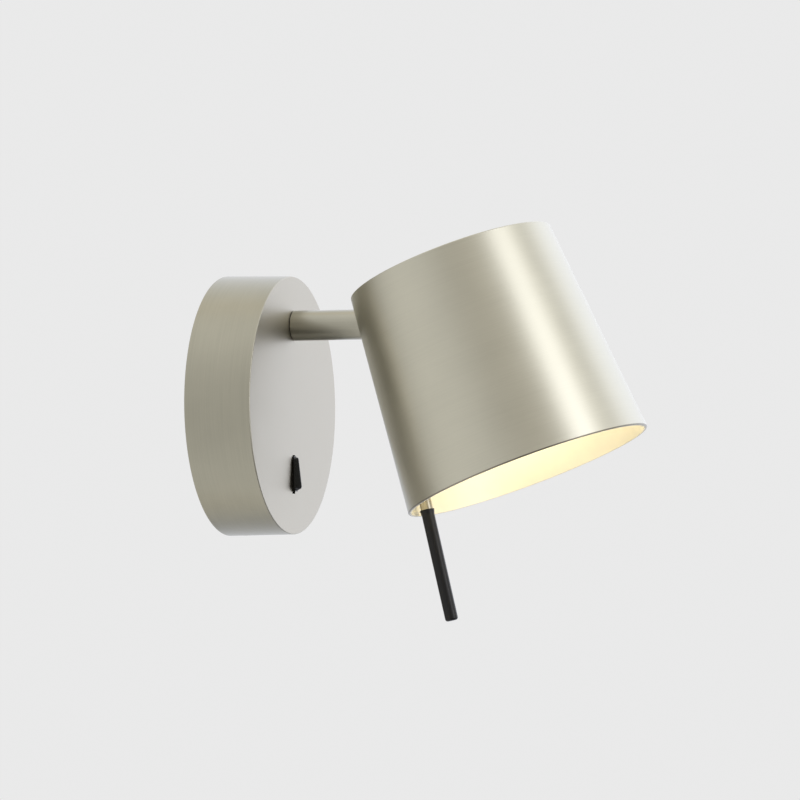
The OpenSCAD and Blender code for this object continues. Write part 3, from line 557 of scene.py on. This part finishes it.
# Shade
shadeSize = {"top": 44.2, "mouth": 52.5, "length": 93.3, "skin": 1.305, "rim": 0.5, "rise": 9.95,
             "slotHalf": 7.0, "slotLow": -7.897, "slotHigh": 10.001, "slotFrom": -8, "slotTo": 14}
atTop = onShade @ moved(0, 0, shadeSize["rise"])
shade = grown("shadeSkin", shadeTree, {
    "Top radius": shadeSize["top"] * mm, "Mouth radius": shadeSize["mouth"] * mm,
    "Length": shadeSize["length"] * mm, "Skin": shadeSize["skin"] * mm,
    "Rim round": shadeSize["rim"] * mm, "Segments": 240, "Material": shadeNickel}, atTop)
armSlot = stadium(shadeSize["slotHalf"], shadeSize["slotLow"], shadeSize["slotHigh"])
cutAway(shade, [prism("armSlot", armSlot, shadeSize["slotFrom"], shadeSize["slotTo"],
                      inHead @ onWall)])
settle(shade, shadeNickel)
# Bright inside and rim, and a darker band where a rim looks down, painted shade for the dark
# reflection along the mouth's edge
facesIn, facesDown, paintedShadeLow = 0.5, -0.1, -0.05
shade.data.materials.append(shadeInner)
shade.data.materials.append(rimPaintedShade)
toShade = onShade.inverted()
for face in shade.data.polygons:
    centre = toShade @ face.center
    out = toShade.to_3x3() @ face.normal
    inward = -(out.x * centre.x + out.y * centre.y) / math.hypot(centre.x, centre.y)
    if inward > facesIn or (out.z < facesDown and inward > facesDown):
        face.material_index = 1
    elif out.z < paintedShadeLow:
        face.material_index = 2
carry(shade, "head", "shade_nickel", "shade")
print("shade", len(shade.data.polygons))

topDisc = {"radius": 42.87, "low": 42.98, "thick": 1.2, "bore": 1.6, "head": 2.92, "sink": 1.12,
           "under": 2, "over": 1}
screwSpots = [(-6, 17.47), (6, 17.47), (0, -13.2)]
shadeTop = lathe("shadeTop", [
    (0, -topDisc["thick"]), (topDisc["low"], -topDisc["thick"], 0.15),
    (topDisc["radius"], 0, 0.15), (0, 0)], atTop, 192)
cutAway(shadeTop, [lathe("screwHole", [
    (0, -topDisc["under"]), (topDisc["bore"], -topDisc["under"]),
    (topDisc["bore"], -topDisc["sink"]), (topDisc["head"], 0), (topDisc["head"], topDisc["over"]),
    (0, topDisc["over"])], atTop @ moved(x, y, 0), 48) for x, y in screwSpots])
settle(shadeTop, shadeNickel)
carry(shadeTop, "head", "shade_nickel", "shade_top")
print("shade top")

# Wall cover
cover = {"back": 55.0, "front": 54.4, "depth": 28.3, "wall": 1.5, "edge": 0.45, "backEdge": 0.12,
         "inner": 0.5, "armHole": 6.02, "slotHalf": 1.7, "slotLength": 8.15, "pinHole": 2.02,
         "pinOut": 8, "pinAt": 54.5, "stud": 1.5, "studFrom": 20.8, "studTo": 27.2, "studAt": 15,
         "armCut": (25, 30), "slotCut": (-2, 6), "pinCut": (-4, 4)}
wallCover = lathe("wallCover", [
    (0, cover["depth"]), (cover["front"], cover["depth"], cover["edge"]),
    (cover["back"], 0, cover["backEdge"]), (cover["back"] - cover["wall"], 0, cover["backEdge"]),
    (cover["front"] - cover["wall"], cover["depth"] - cover["wall"], cover["inner"]),
    (0, cover["depth"] - cover["wall"])], onWall, 256)
cutAway(wallCover, [
    drum("armHole", cover["armHole"], *cover["armCut"], onArm, 96),
    squareBar("rockerSlot", cover["slotHalf"], cover["slotLength"], *cover["slotCut"],
              atSwitch)] + [
    drum("pinHole", cover["pinHole"], *cover["pinCut"],
         onWall @ moved(0, side * cover["pinAt"], cover["pinOut"]) @ turned(90, "X"), 48)
    for side in (-1, 1)])
joined(wallCover, [lathe("stud", [
    (0, cover["studFrom"]), (cover["stud"], cover["studFrom"], 0.2),
    (cover["stud"], cover["studTo"]), (0, cover["studTo"])],
    onWall @ moved(0, switchPin.z / mm + side * cover["studAt"], 0), 32) for side in (-1, 1)])
settle(wallCover, plateShadedNickel)
wallCover.data.materials.append(plateFace)
for face in wallCover.data.polygons:
    if face.normal.y < -0.9 and face.center.y < -(cover["depth"] - 0.1) * mm:
        face.material_index = 1
carry(wallCover, "wall_plate", "plate_nickel", "wall_cover")
print("wall cover", len(wallCover.data.polygons))

bush = {"bore": 5.04, "neck": 6.0, "flange": 9.0, "back": 25.3, "shoulder": 26.8, "front": 28.6}
armBush = lathe("armBush", [
    (bush["bore"], bush["back"]), (bush["flange"], bush["back"], 0.2),
    (bush["flange"], bush["shoulder"], 0.1), (bush["neck"], bush["shoulder"]),
    (bush["neck"], bush["front"], 0.1), (bush["bore"], bush["front"])], onArm)
settle(armBush, bushPaintedLightGrey)
carry(armBush, "wall_plate", "black_nylon", "arm_bush")

grommet = {"bore": 4.0, "neck": 5.98, "flange": 7.6, "plate": 1.5, "front": 3.5}
cableGrommet = lathe("cableGrommet", [
    (grommet["bore"], 0, 0.3), (grommet["neck"], 0, 0.2), (grommet["neck"], grommet["plate"]),
    (grommet["flange"], grommet["plate"], 0.3), (grommet["flange"], grommet["front"], 0.8),
    (grommet["bore"], grommet["front"], 0.6)], onWall)
settle(cableGrommet, rubberBlack)
carry(cableGrommet, "wall_plate", "rubber_black", "cable_grommet")

# Arm, with the clevis cut at its end and the bolt's seats in its cheeks
arm = {"radius": 6.35, "back": -joints["arm_swivel"]["pos_m"][1] / mm, "pivot": -pivot.y / mm,
       "slotHalf": 3.0, "mouth": 3.0, "slotEnd": 75, "pocket": 6.0, "bore": 5.02, "boreFrom": 20,
       "boreEnd": 52.5, "wire": 3.0, "wireFrom": 47, "wireEnd": 57.5, "bolt": 2.02, "seat": 4.5,
       "head": 2.8, "headDeep": 4, "past": 9, "over": 8, "under": 1, "endSteps": 40}
armTube = lathe("armTube", [
    (0, arm["back"]), (arm["radius"], arm["back"], 0.15),
    (arm["radius"], arm["pivot"] + arm["over"]), (0, arm["pivot"] + arm["over"])], onArm, 160)
endTurns = [math.pi * i / arm["endSteps"] for i in range(arm["endSteps"] + 1)]
profile = prism("armProfile", [
    (-arm["radius"] * math.cos(angle), arm["pivot"] + arm["radius"] * math.sin(angle))
    for angle in endTurns] + [
    (arm["over"], arm["back"] - arm["under"]), (-arm["over"], arm["back"] - arm["under"])],
    -arm["past"], arm["past"], onArm @ turned(90, "Y") @ turned(90, "Z"))
acrossBolt = onArm @ moved(0, 0, arm["pivot"]) @ turned(90, "Y")
cutAway(armTube, [
    drum("studBore", arm["bore"], arm["boreFrom"], arm["boreEnd"], onArm, 64),
    drum("wireBore", arm["wire"], arm["wireFrom"], arm["wireEnd"], onArm, 48),
    squareBar("clevisSlot", arm["slotHalf"], arm["past"], arm["pivot"] - arm["mouth"],
              arm["slotEnd"], onArm),
    drum("clevisPocket", arm["pocket"], -arm["slotHalf"], arm["slotHalf"], acrossBolt, 96),
    drum("boltBore", arm["bolt"], -arm["past"], arm["past"], acrossBolt, 48)] + [
    drum("boltSeat", arm["head"], 0, arm["headDeep"],
         acrossBolt @ turned(90 - 90 * side, "X") @ moved(0, 0, arm["seat"]), 48)
    for side in (-1, 1)], profile)
settle(armTube, armNickel, 0.12)
carry(armTube, "arm", "arm_nickel", "arm_tube")
print("arm")

# Rocker's knob: a wedge, wider and thicker at its lower end, spanned over round corners
knob = {"face": 4.0, "half": 7.1, "heel": 4.672, "topWidth": 4.7, "lowWidth": 6.8, "gap": 0.3,
        "topEdge": 0.4, "lowEdge": 0.5, "topRidge": 0.9, "lowRidge": 1.25, "topLift": 0.65,
        "lowLift": 0.75, "topInset": 0.2, "lowInset": 0.5, "heelInset": 0.1, "topIn": 1.2,
        "lowIn": 1.4, "neckX": 2.05, "neckY": 0.1, "neckHigh": 1}
build = bmesh.new()
for end, sign in (("top", 1), ("low", -1)):
    ridge, edge = knob[end + "Ridge"], knob[end + "Edge"]
    across, along = knob[end + "Width"] / 2 - edge, knob["half"] - knob[end + "In"]
    balls = [(0, knob["half"] - ridge - knob[end + "Inset"],
              knob["face"] + ridge + knob[end + "Lift"], ridge),
             (0, knob["half"] - edge - knob["heelInset"], knob["heel"] + edge, edge),
             (-across, along, knob["heel"] + edge, edge),
             (across, along, knob["heel"] + edge, edge)]
    for x, y, z, radius in balls:
        bmesh.ops.create_uvsphere(build, u_segments=40, v_segments=20, radius=radius * mm,
                                  matrix=moved(x, sign * y, z))
for x in (-knob["neckX"], knob["neckX"]):
    for y in (-knob["neckY"], knob["neckY"]):
        for z in (knob["face"] + knob["gap"], knob["face"] + knob["neckHigh"]):
            build.verts.new(Vector((x, y, z)) * mm)
shell = bmesh.ops.convex_hull(build, input=build.verts)
inside = {v for v in shell["geom_interior"] + shell["geom_unused"]
          if isinstance(v, bmesh.types.BMVert)}
bmesh.ops.delete(build, geom=list(inside), context="VERTS")
bmesh.ops.dissolve_limit(build, angle_limit=math.radians(0.4), verts=build.verts,
                         edges=build.edges)
rocker = builtPiece("switchRocker", build)
rocker.data.transform(atRocker)

# The blade in the slot, the boss round the pin and the stem behind them
blade = {"half": 7.4, "top": 4.9, "waist": 1.8, "foot": 2.2, "low": -1.5, "thick": 1.5}
boss = {"bore": 1.04, "radius": 2.2, "half": 2, "edge": 0.1}
stem = {"x": 1.5, "y": 1.2, "low": -6, "high": -1.05}
joined(rocker, [
    prism("blade", [
        (-blade["half"], blade["top"]), (-blade["half"], blade["waist"]),
        (-blade["foot"], blade["low"]), (blade["foot"], blade["low"]),
        (blade["half"], blade["waist"]), (blade["half"], blade["top"])],
        -blade["thick"], blade["thick"], atRocker @ turned(90, "Z") @ turned(90, "X")),
    lathe("boss", [
        (boss["bore"], -boss["half"]), (boss["radius"], -boss["half"], boss["edge"]),
        (boss["radius"], boss["half"], boss["edge"]), (boss["bore"], boss["half"])],
        atRocker @ turned(90, "Y"), 48),
    squareBar("stem", stem["x"], stem["y"], stem["low"], stem["high"], atRocker)])
settle(rocker, blackNylon, 0, 25)
carry(rocker, "rocker", "black_nylon", "switch_rocker")
print("rocker")

# Handle
rod = {"tip": 2.0, "from": 11.0, "radius": 2.6, "shoulder": 23.0, "sleeve": 82.2, "tang": 1.6,
       "end": 122.2}
handleRod = lathe("handleRod", [
    (0, rod["from"]), (rod["tip"], rod["from"], 0.3), (rod["tip"], rod["shoulder"]),
    (rod["radius"], rod["shoulder"], 0.3), (rod["radius"], rod["sleeve"], 0.15),
    (rod["tang"], rod["sleeve"]), (rod["tang"], rod["end"], 0.2), (0, rod["end"])], onHandle, 64)
settle(handleRod, rodShadedNickel)
carry(handleRod, "head", "rod_nickel", "handle_rod")
sleeve = {"collar": 3.15, "radius": 2.7, "from": 82.2, "neck": 84.4, "end": 129.5, "bore": 1.62,
          "bed": 123.2}
handleSleeve = lathe("handleSleeve", [
    (0, sleeve["bed"]), (sleeve["bore"], sleeve["bed"]), (sleeve["bore"], sleeve["from"]),
    (sleeve["collar"], sleeve["from"], 0.2), (sleeve["radius"], sleeve["neck"], 1.5),
    (sleeve["radius"], sleeve["end"], 1.1), (0, sleeve["end"])], onHandle, 64)
settle(handleSleeve, sleeveBlack)
carry(handleSleeve, "head", "sleeve_black", "handle_sleeve")
print("handle")

# Lamp: opal globe, screw cap and contact
lamp = {"radius": 22.5, "middle": -49.5, "neck": 8.0, "neckLow": -33.0, "capLow": -25.0,
        "steps": 48}
start = math.acos((lamp["neckLow"] - lamp["middle"]) / lamp["radius"])
globe = []
for i in range(lamp["steps"]):
    angle = start + (math.pi - start) * i / lamp["steps"]
    globe.append((lamp["radius"] * math.sin(angle),
                  lamp["middle"] + lamp["radius"] * math.cos(angle)))
lampGlass = lathe("lampGlass", [
    (0, lamp["capLow"]), (lamp["neck"], lamp["capLow"], 0.4), *globe,
    (0, lamp["middle"] - lamp["radius"])], onShade, 96)
settle(lampGlass, opalGlass, 0, 40)
carry(lampGlass, "head", "opal_glass", "lamp_glass")

cap = {"radius": 6.9, "waist": 6.0, "nose": 4.7, "low": -25.0, "rim": -22.6, "step": -22.0,
       "shoulder": -6.9, "high": -6.5, "ridge": 0.55, "pitch": 2.8, "turns": 4.6, "from": -21.4}
lampCap = lathe("lampCap", [
    (0, cap["low"]), (cap["radius"], cap["low"], 0.2), (cap["radius"], cap["rim"], 0.4),
    (cap["waist"], cap["step"]), (cap["waist"], cap["shoulder"], 0.3),
    (cap["nose"], cap["high"]), (0, cap["high"])], onShade, 64)
joined(lampCap, [grown("capRidge", ridgeTree, {
    "Radius": cap["radius"] * mm, "Ridge": cap["ridge"] * mm, "Pitch": cap["pitch"] * mm,
    "Turns": cap["turns"]}, onShade @ moved(0, 0, cap["from"]))])
settle(lampCap, capMetal, 0, 35)
carry(lampCap, "head", "cap_metal", "lamp_cap")

contact = {"wide": 5.9, "tip": 2.5, "low": -6.5, "high": -4.0}
lampContact = lathe("lampContact", [
    (0, contact["low"]), (contact["wide"], contact["low"], 0.3),
    (contact["tip"], contact["high"], 0.3), (0, contact["high"])], onShade, 48)
settle(lampContact, capInsulator)
carry(lampContact, "head", "cap_insulator", "lamp_contact")
print("lamp")

# Lampholder
holder = {"radius": 13.5, "top": 3.75, "roof": 1.75, "split": -8.25, "low": -24.75, "inner": 11.7,
          "nose": 11.68, "neck": -4.25, "bore": 7.72, "hole": 5.02}
holderCap = lathe("holderCap", [
    (holder["hole"], holder["top"]), (holder["radius"], holder["top"], 1.2),
    (holder["radius"], holder["split"], 0.15), (holder["inner"], holder["split"]),
    (holder["inner"], holder["roof"], 0.8), (holder["hole"], holder["roof"])], onShade, 96)
settle(holderCap, blackNylon)
carry(holderCap, "head", "black_nylon", "holder_cap")
holderBody = lathe("holderBody", [
    (holder["bore"], holder["low"], 0.4), (holder["radius"], holder["low"], 0.8),
    (holder["radius"], holder["split"], 0.15), (holder["nose"], holder["split"]),
    (holder["nose"], holder["neck"], 0.3), (holder["bore"], holder["neck"])], onShade, 96)
settle(holderBody, blackNylon)
carry(holderBody, "head", "black_nylon", "holder_body")

# Hollow threaded pieces: the arm's stud and the lampholder's nipple
thread = {"inner": 3.5, "radius": 5.0, "core": 4.65, "ridge": 0.3, "pitch": 1.0, "start": 0.5,
          "edge": 0.2}
for name, node, body, place, low, high, turns in (
        ("armStud", "arm_stud", "arm", onArm, 18.5, 43.6, 24.0),
        ("holderNipple", "holder_nipple", "head", onShade, 1.75, 5.45, 2.6)):
    piece = lathe(name, [(radius, height, thread["edge"]) for radius, height in (
        (thread["inner"], low), (thread["core"], low), (thread["core"], high),
        (thread["inner"], high))], place, 64)
    joined(piece, [grown(name + "Thread", ridgeTree, {
        "Radius": thread["radius"] * mm, "Ridge": thread["ridge"] * mm,
        "Pitch": thread["pitch"] * mm, "Turns": turns},
        place @ moved(0, 0, low + thread["start"]))])
    settle(piece, zincSteel, 0, 40)
    carry(piece, body, "zinc_steel", node)
print("lampholder and threads")

# Screws in sets on the points of each set: slotted, or with a six-sided socket
slotted = {"Drive sides": 4, "Drive turn": math.pi / 4}
socket = {"Drive sides": 6, "Drive turn": 0.0}
screwSets = [
    ("bracketScrews", "bracket_screws", "head", zincSteel, "zinc_steel",
     atTop @ moved(0, 0, -topDisc["thick"]), 0.08, [(x, y, 0) for x, y in screwSpots], socket,
     {"Head radius": 2.9, "Under radius": 1.7, "Head height": 1.2, "Shank radius": 1.5,
      "Shank length": 4.5, "Drive width": 1.8, "Drive length": 1.8, "Drive depth": 0.9}),
    ("terminalScrews", "terminal_screws", "wall_plate", brass, "brass",
     onWall @ moved(0, 17, 10.5), 0.05, [(x, y, 0) for x in (-7, 0, 7) for y in (-3, 3)], slotted,
     {"Head radius": 1.3, "Under radius": 1.3, "Head height": 4.0, "Shank radius": 1.25,
      "Shank length": 2.9, "Drive width": 0.42, "Drive length": 3.0, "Drive depth": 0.8}),
    ("blockScrews", "block_screws", "wall_plate", zincSteel, "zinc_steel",
     onWall @ moved(0, 17, 8.5), 0.12, [(-11.7, 0, 0), (11.7, 0, 0)], slotted,
     {"Head radius": 1.8, "Under radius": 2.0, "Head height": 1.6, "Shank radius": 1.5,
      "Shank length": 8.5, "Drive width": 0.5, "Drive length": 4.2, "Drive depth": 0.7}),
    ("earthScrew", "earth_screw", "wall_plate", brass, "brass",
     onWall @ moved(10.5, -15, 2.3), 0.15, [(0, 0, 0)], slotted,
     {"Head radius": 3.3, "Under radius": 3.6, "Head height": 2.0, "Shank radius": 2.0,
      "Shank length": 2.3, "Drive width": 0.56, "Drive length": 7.0, "Drive depth": 0.9})]
for name, node, body, material, slot, place, edge, spots, driver, sizes in screwSets:
    piece = grown(name, headedTree, {**driver, **{key: sizes[key] * mm for key in sizes}},
                  place, spots)
    settle(piece, material, edge)
    carry(piece, body, slot, node)
print("screws")

# Leads along their own points
wire = {"Radius": 0.9 * mm, "Step": 0.8 * mm}
leadRoutes = [
    ("supplyLiveLead", "supply_live_lead", "wall_plate", onWall, leadBrown, "lead_brown",
     [(-7, 12, 7), (-7, 7, 7), (-11, 1, 7.5), (-12, -9, 7), (-8, -17, 6), (-1.5, -21.15, 5.5),
      (0, -22.25, 8)]),
    ("switchedLiveLead", "switched_live_lead", "wall_plate", onWall, leadBrown, "lead_brown",
     [(0, -36.05, 8), (2, -36.65, 5.5), (10, -38, 6), (19, -28, 9), (22, -10, 12),
      (20, 10, 15.5), (16.5, 24, 17), (8, 33, 15.5), (1.9, 34.6, 15.5), (1.9, 33.6, 18.3)]),
    ("supplyNeutralLead", "supply_neutral_lead", "wall_plate", onWall, leadBlue, "lead_blue",
     [(0, 22, 7), (0, 27, 7), (-1.5, 32.1, 9), (-2.5, 33.9, 13), (-1.9, 33.6, 18.3)]),
    ("earthLead", "earth_lead", "wall_plate", onWall, leadEarth, "lead_earth",
     [(7, 12, 7), (7, 7, 7), (11.5, 1, 6.5), (11.5, -4, 5), (10.5, -7, 3.7), (10.5, -10.8, 3.3)]),
    ("armLiveLead", "arm_live_lead", "arm", onArm, leadBrown, "lead_brown",
     [(1.9, 0, 18.9), (1.9, 0, 56.0)]),
    ("armNeutralLead", "arm_neutral_lead", "arm", onArm, leadBlue, "lead_blue",
     [(-1.9, 0, 18.9), (-1.9, 0, 56.0)])]
for name, node, x, end, material, slot in (
        ("headLiveLead", "head_live_lead", 1.2, (1.2, -7, -2.45), leadBrown, "lead_brown"),
        ("headNeutralLead", "head_neutral_lead", -1.2, (-6.5, 5, -3.25), leadBlue, "lead_blue")):
    leadRoutes.append((name, node, "head", onShade, material, slot, [
        (x, 28.97, 6.75), (x, 21.47, 6.75), (x, 10, 6.75), (x, 3.4, 6.55), (x, 1, 3.75),
        (x, 0.6, 1.75), ((x + end[0]) / 2, end[1] / 2, -0.85), end]))
for name, node, body, place, material, slot, points in leadRoutes:
    links = [(i, i + 1) for i in range(len(points) - 1)]
    piece = grown(name, wireTree, wire, place, points, links)
    settle(piece, material, 0, 40)
    carry(piece, body, slot, node)
print("leads")

# Pieces that keep the CAD shape, with their edges broken
kept = [
    ("handle_nut", "head", zincSteel, "zinc_steel", 0.25),
    ("mounting_bracket", "wall_plate", zincSteel, "zinc_steel", 0.2),
    ("cover_screws", "wall_plate", zincSteel, "zinc_steel", 0.1),
    ("terminal_block", "wall_plate", terminalCream, "terminal_cream", 0.3),
    ("terminal_clamps", "wall_plate", brass, "brass", 0.1),
    ("earth_tag", "wall_plate", zincSteel, "zinc_steel", 0.1),
    ("switch_housing", "wall_plate", blackNylon, "black_nylon", 0.25),
    ("switch_pin", "wall_plate", zincSteel, "zinc_steel", 0.1),
    ("switch_tags", "wall_plate", brass, "brass", 0.1),
    ("switch_nuts", "wall_plate", zincSteel, "zinc_steel", 0.2),
    ("stop_pin", "wall_plate", zincSteel, "zinc_steel", 0.1),
    ("contact_bridge", "rocker", brass, "brass", 0.08),
    ("arm_nut", "arm", zincSteel, "zinc_steel", 0.3),
    ("spring_washer", "arm", zincSteel, "zinc_steel", 0.1),
    ("stop_washer", "arm", zincSteel, "zinc_steel", 0.12),
    ("tilt_bolt", "arm", zincSteel, "zinc_steel", 0.12),
    ("tilt_nut", "arm", zincSteel, "zinc_steel", 0.12),
    ("friction_washers", "arm", rubberBlack, "rubber_black", 0.08),
    ("head_bracket", "head", zincSteel, "zinc_steel", 0.25),
    ("holder_shell", "head", brass, "brass", 0.08),
    ("holder_contact", "head", brass, "brass", 0.06)]
for node, body, material, slot, edge in kept:
    words = node.split("_")
    name = words[0] + "".join(word.title() for word in words[1:])
    carry(softened(node, name, material, edge), body, slot, node)

# A hair of room between the washers and the bracket that turns against them
washers = {"inner": 2.75, "room": 0.01}
for vertex in bpy.data.objects["frictionWashers"].data.vertices:
    if abs(vertex.co.x) < washers["inner"] * mm:
        vertex.co.x += math.copysign(washers["room"] * mm, vertex.co.x)
print("kept pieces")

# Plain floor well under the lamp
floorSize = {"half": 450, "out": -60, "down": -1200}
build = bmesh.new()
bmesh.ops.create_grid(build, x_segments=1, y_segments=1, size=floorSize["half"] * mm,
                      matrix=moved(0, floorSize["out"], floorSize["down"]))
floor = builtPiece("floor", build)
floor.data.materials.append(
    newMaterial("floorPaint", (0.82, 0.82, 0.81), 0.6, grain=40, spread=0.01))

# Light from all round, by direction
world = bpy.data.worlds.new("studio")
world.use_nodes = True
bpy.context.scene.world = world
tree = world.node_tree
tree.nodes.clear()
where = addNode(tree, "ShaderNodeTexCoord").outputs["Generated"]
axes = addNode(tree, "ShaderNodeSeparateXYZ", {"Vector": where}).outputs
x, y, up = axes["X"], axes["Y"], axes["Z"]
around = ramp(tree, sums(tree, y, x, "ARCTAN2"), -math.pi, math.pi, 0.0, 1.0)
# Brightness round the lamp, from -X through -Y, +X and +Y
roundLight = [(0.0, 0.55), (0.05, 0.47), (0.12, 0.5), (0.25, 1.2), (0.31, 0.6), (0.37, 1.42),
              (0.52, 1.32), (0.6, 0.85), (0.67, 0.28), (0.745, 0.28), (0.78, 0.67), (0.84, 0.81),
              (0.93, 0.75), (1.0, 0.56)]
ring = addNode(tree, "ShaderNodeValToRGB", {"Fac": around})
stops = ring.color_ramp.elements
while len(stops) < len(roundLight):
    stops.new(0.5)
for i, (spot, value) in enumerate(roundLight):
    stops[i].position = spot
for i, (spot, value) in enumerate(roundLight):
    stops[i].color = (value / 2, value / 2, value / 2, 1)
ringLight = ring.outputs["Color"]


def blended(factor, a, b):
    return addNode(tree, "ShaderNodeMix", {0: factor, 2: a, 3: b}, data_type="FLOAT").outputs[0]


# Even towards the zenith, dark below in front of the plate, light all the way down behind it
steep = sums(tree, up, 0.0, "ABSOLUTE")
level = blended(ramp(tree, steep, 0.45, 0.95, 0.0, 1.0), ringLight, 0.4)
frontSide = sums(tree, ramp(tree, up, -0.65, -0.15, 0.06, 1.0),
                 ramp(tree, up, 0.0, 1.0, 1.0, 1.25), "MULTIPLY")
dip = sums(tree, ramp(tree, up, -0.7, -0.15, 0.5, 0.0),
           ramp(tree, x, 0.0, 0.55, 0.0, 1.0), "MULTIPLY")
lifted = sums(tree, ramp(tree, up, 0.0, 1.0, 1.03, 1.24), ramp(tree, up, -0.6, -0.1, 0.09, 0.0))
backSide = sums(tree, lifted, dip, "SUBTRACT")
height = blended(ramp(tree, y, -0.25, 0.1, 0.0, 1.0), frontSide, backSide)
strength = sums(tree, sums(tree, level, height, "MULTIPLY"), 2.0, "MULTIPLY")
# Cool from the far side, warm where the ring is dark
cool = tinted(tree, ramp(tree, x, 0.35, 0.8, 0.0, 1.0), (1.0, 0.985, 0.95, 1), (0.96, 0.99, 1.1, 1))
warm = tinted(tree, ramp(tree, ringLight, 0.14, 0.34, 1.0, 0.0), cool, (1.0, 0.92, 0.78, 1))
lit = addNode(tree, "ShaderNodeBackground", {"Color": warm, "Strength": strength})
seen = addNode(tree, "ShaderNodeBackground", {"Color": (0.82, 0.82, 0.82, 1), "Strength": 1.0})
ray = addNode(tree, "ShaderNodeLightPath")
mixed = addNode(tree, "ShaderNodeMixShader", {
    0: ray.outputs["Is Camera Ray"], 1: lit.outputs["Background"], 2: seen.outputs["Background"]})
addNode(tree, "ShaderNodeOutputWorld", {"Surface": mixed.outputs["Shader"]})

# One tall soft light from the front, aimed at the lamp
keySize = {"direction": (-0.29, -0.95, 0.15), "distance": 1.2, "width": 0.55, "height": 1.4,
           "radiance": 1.92, "color": (0.96, 0.97, 1.05), "aimLow": 40}
keyLight = bpy.data.lights.new("keyLight", "AREA")
keyLight.shape = "RECTANGLE"
keyLight.size = keySize["width"]
keyLight.size_y = keySize["height"]
keyLight.energy = keySize["radiance"] * math.pi * keySize["width"] * keySize["height"]
keyLight.color = keySize["color"]
keyBox = newPiece("keyLight", keyLight)
away = Vector(keySize["direction"]).normalized()
keyBox.location = onShade @ Vector((0, 0, -keySize["aimLow"] * mm)) + away * keySize["distance"]
keyBox.rotation_euler = away.to_track_quat("Z", "Y").to_euler()
keyBox.visible_camera = False

camera = bpy.data.cameras.new("camera")
camera.sensor_width = 36
camera.lens = 162.4
camera.clip_start = 0.05
eye = newPiece("camera", camera)
eye.location = (-1.43472, -0.53417, -0.06207)
eye.rotation_euler = Vector((0.95161, 0.30438, 0.04226)).to_track_quat("-Z", "Y").to_euler()
bpy.context.scene.camera = eye
bpy.context.scene.view_settings.view_transform = "Standard"
print("light and camera ready")
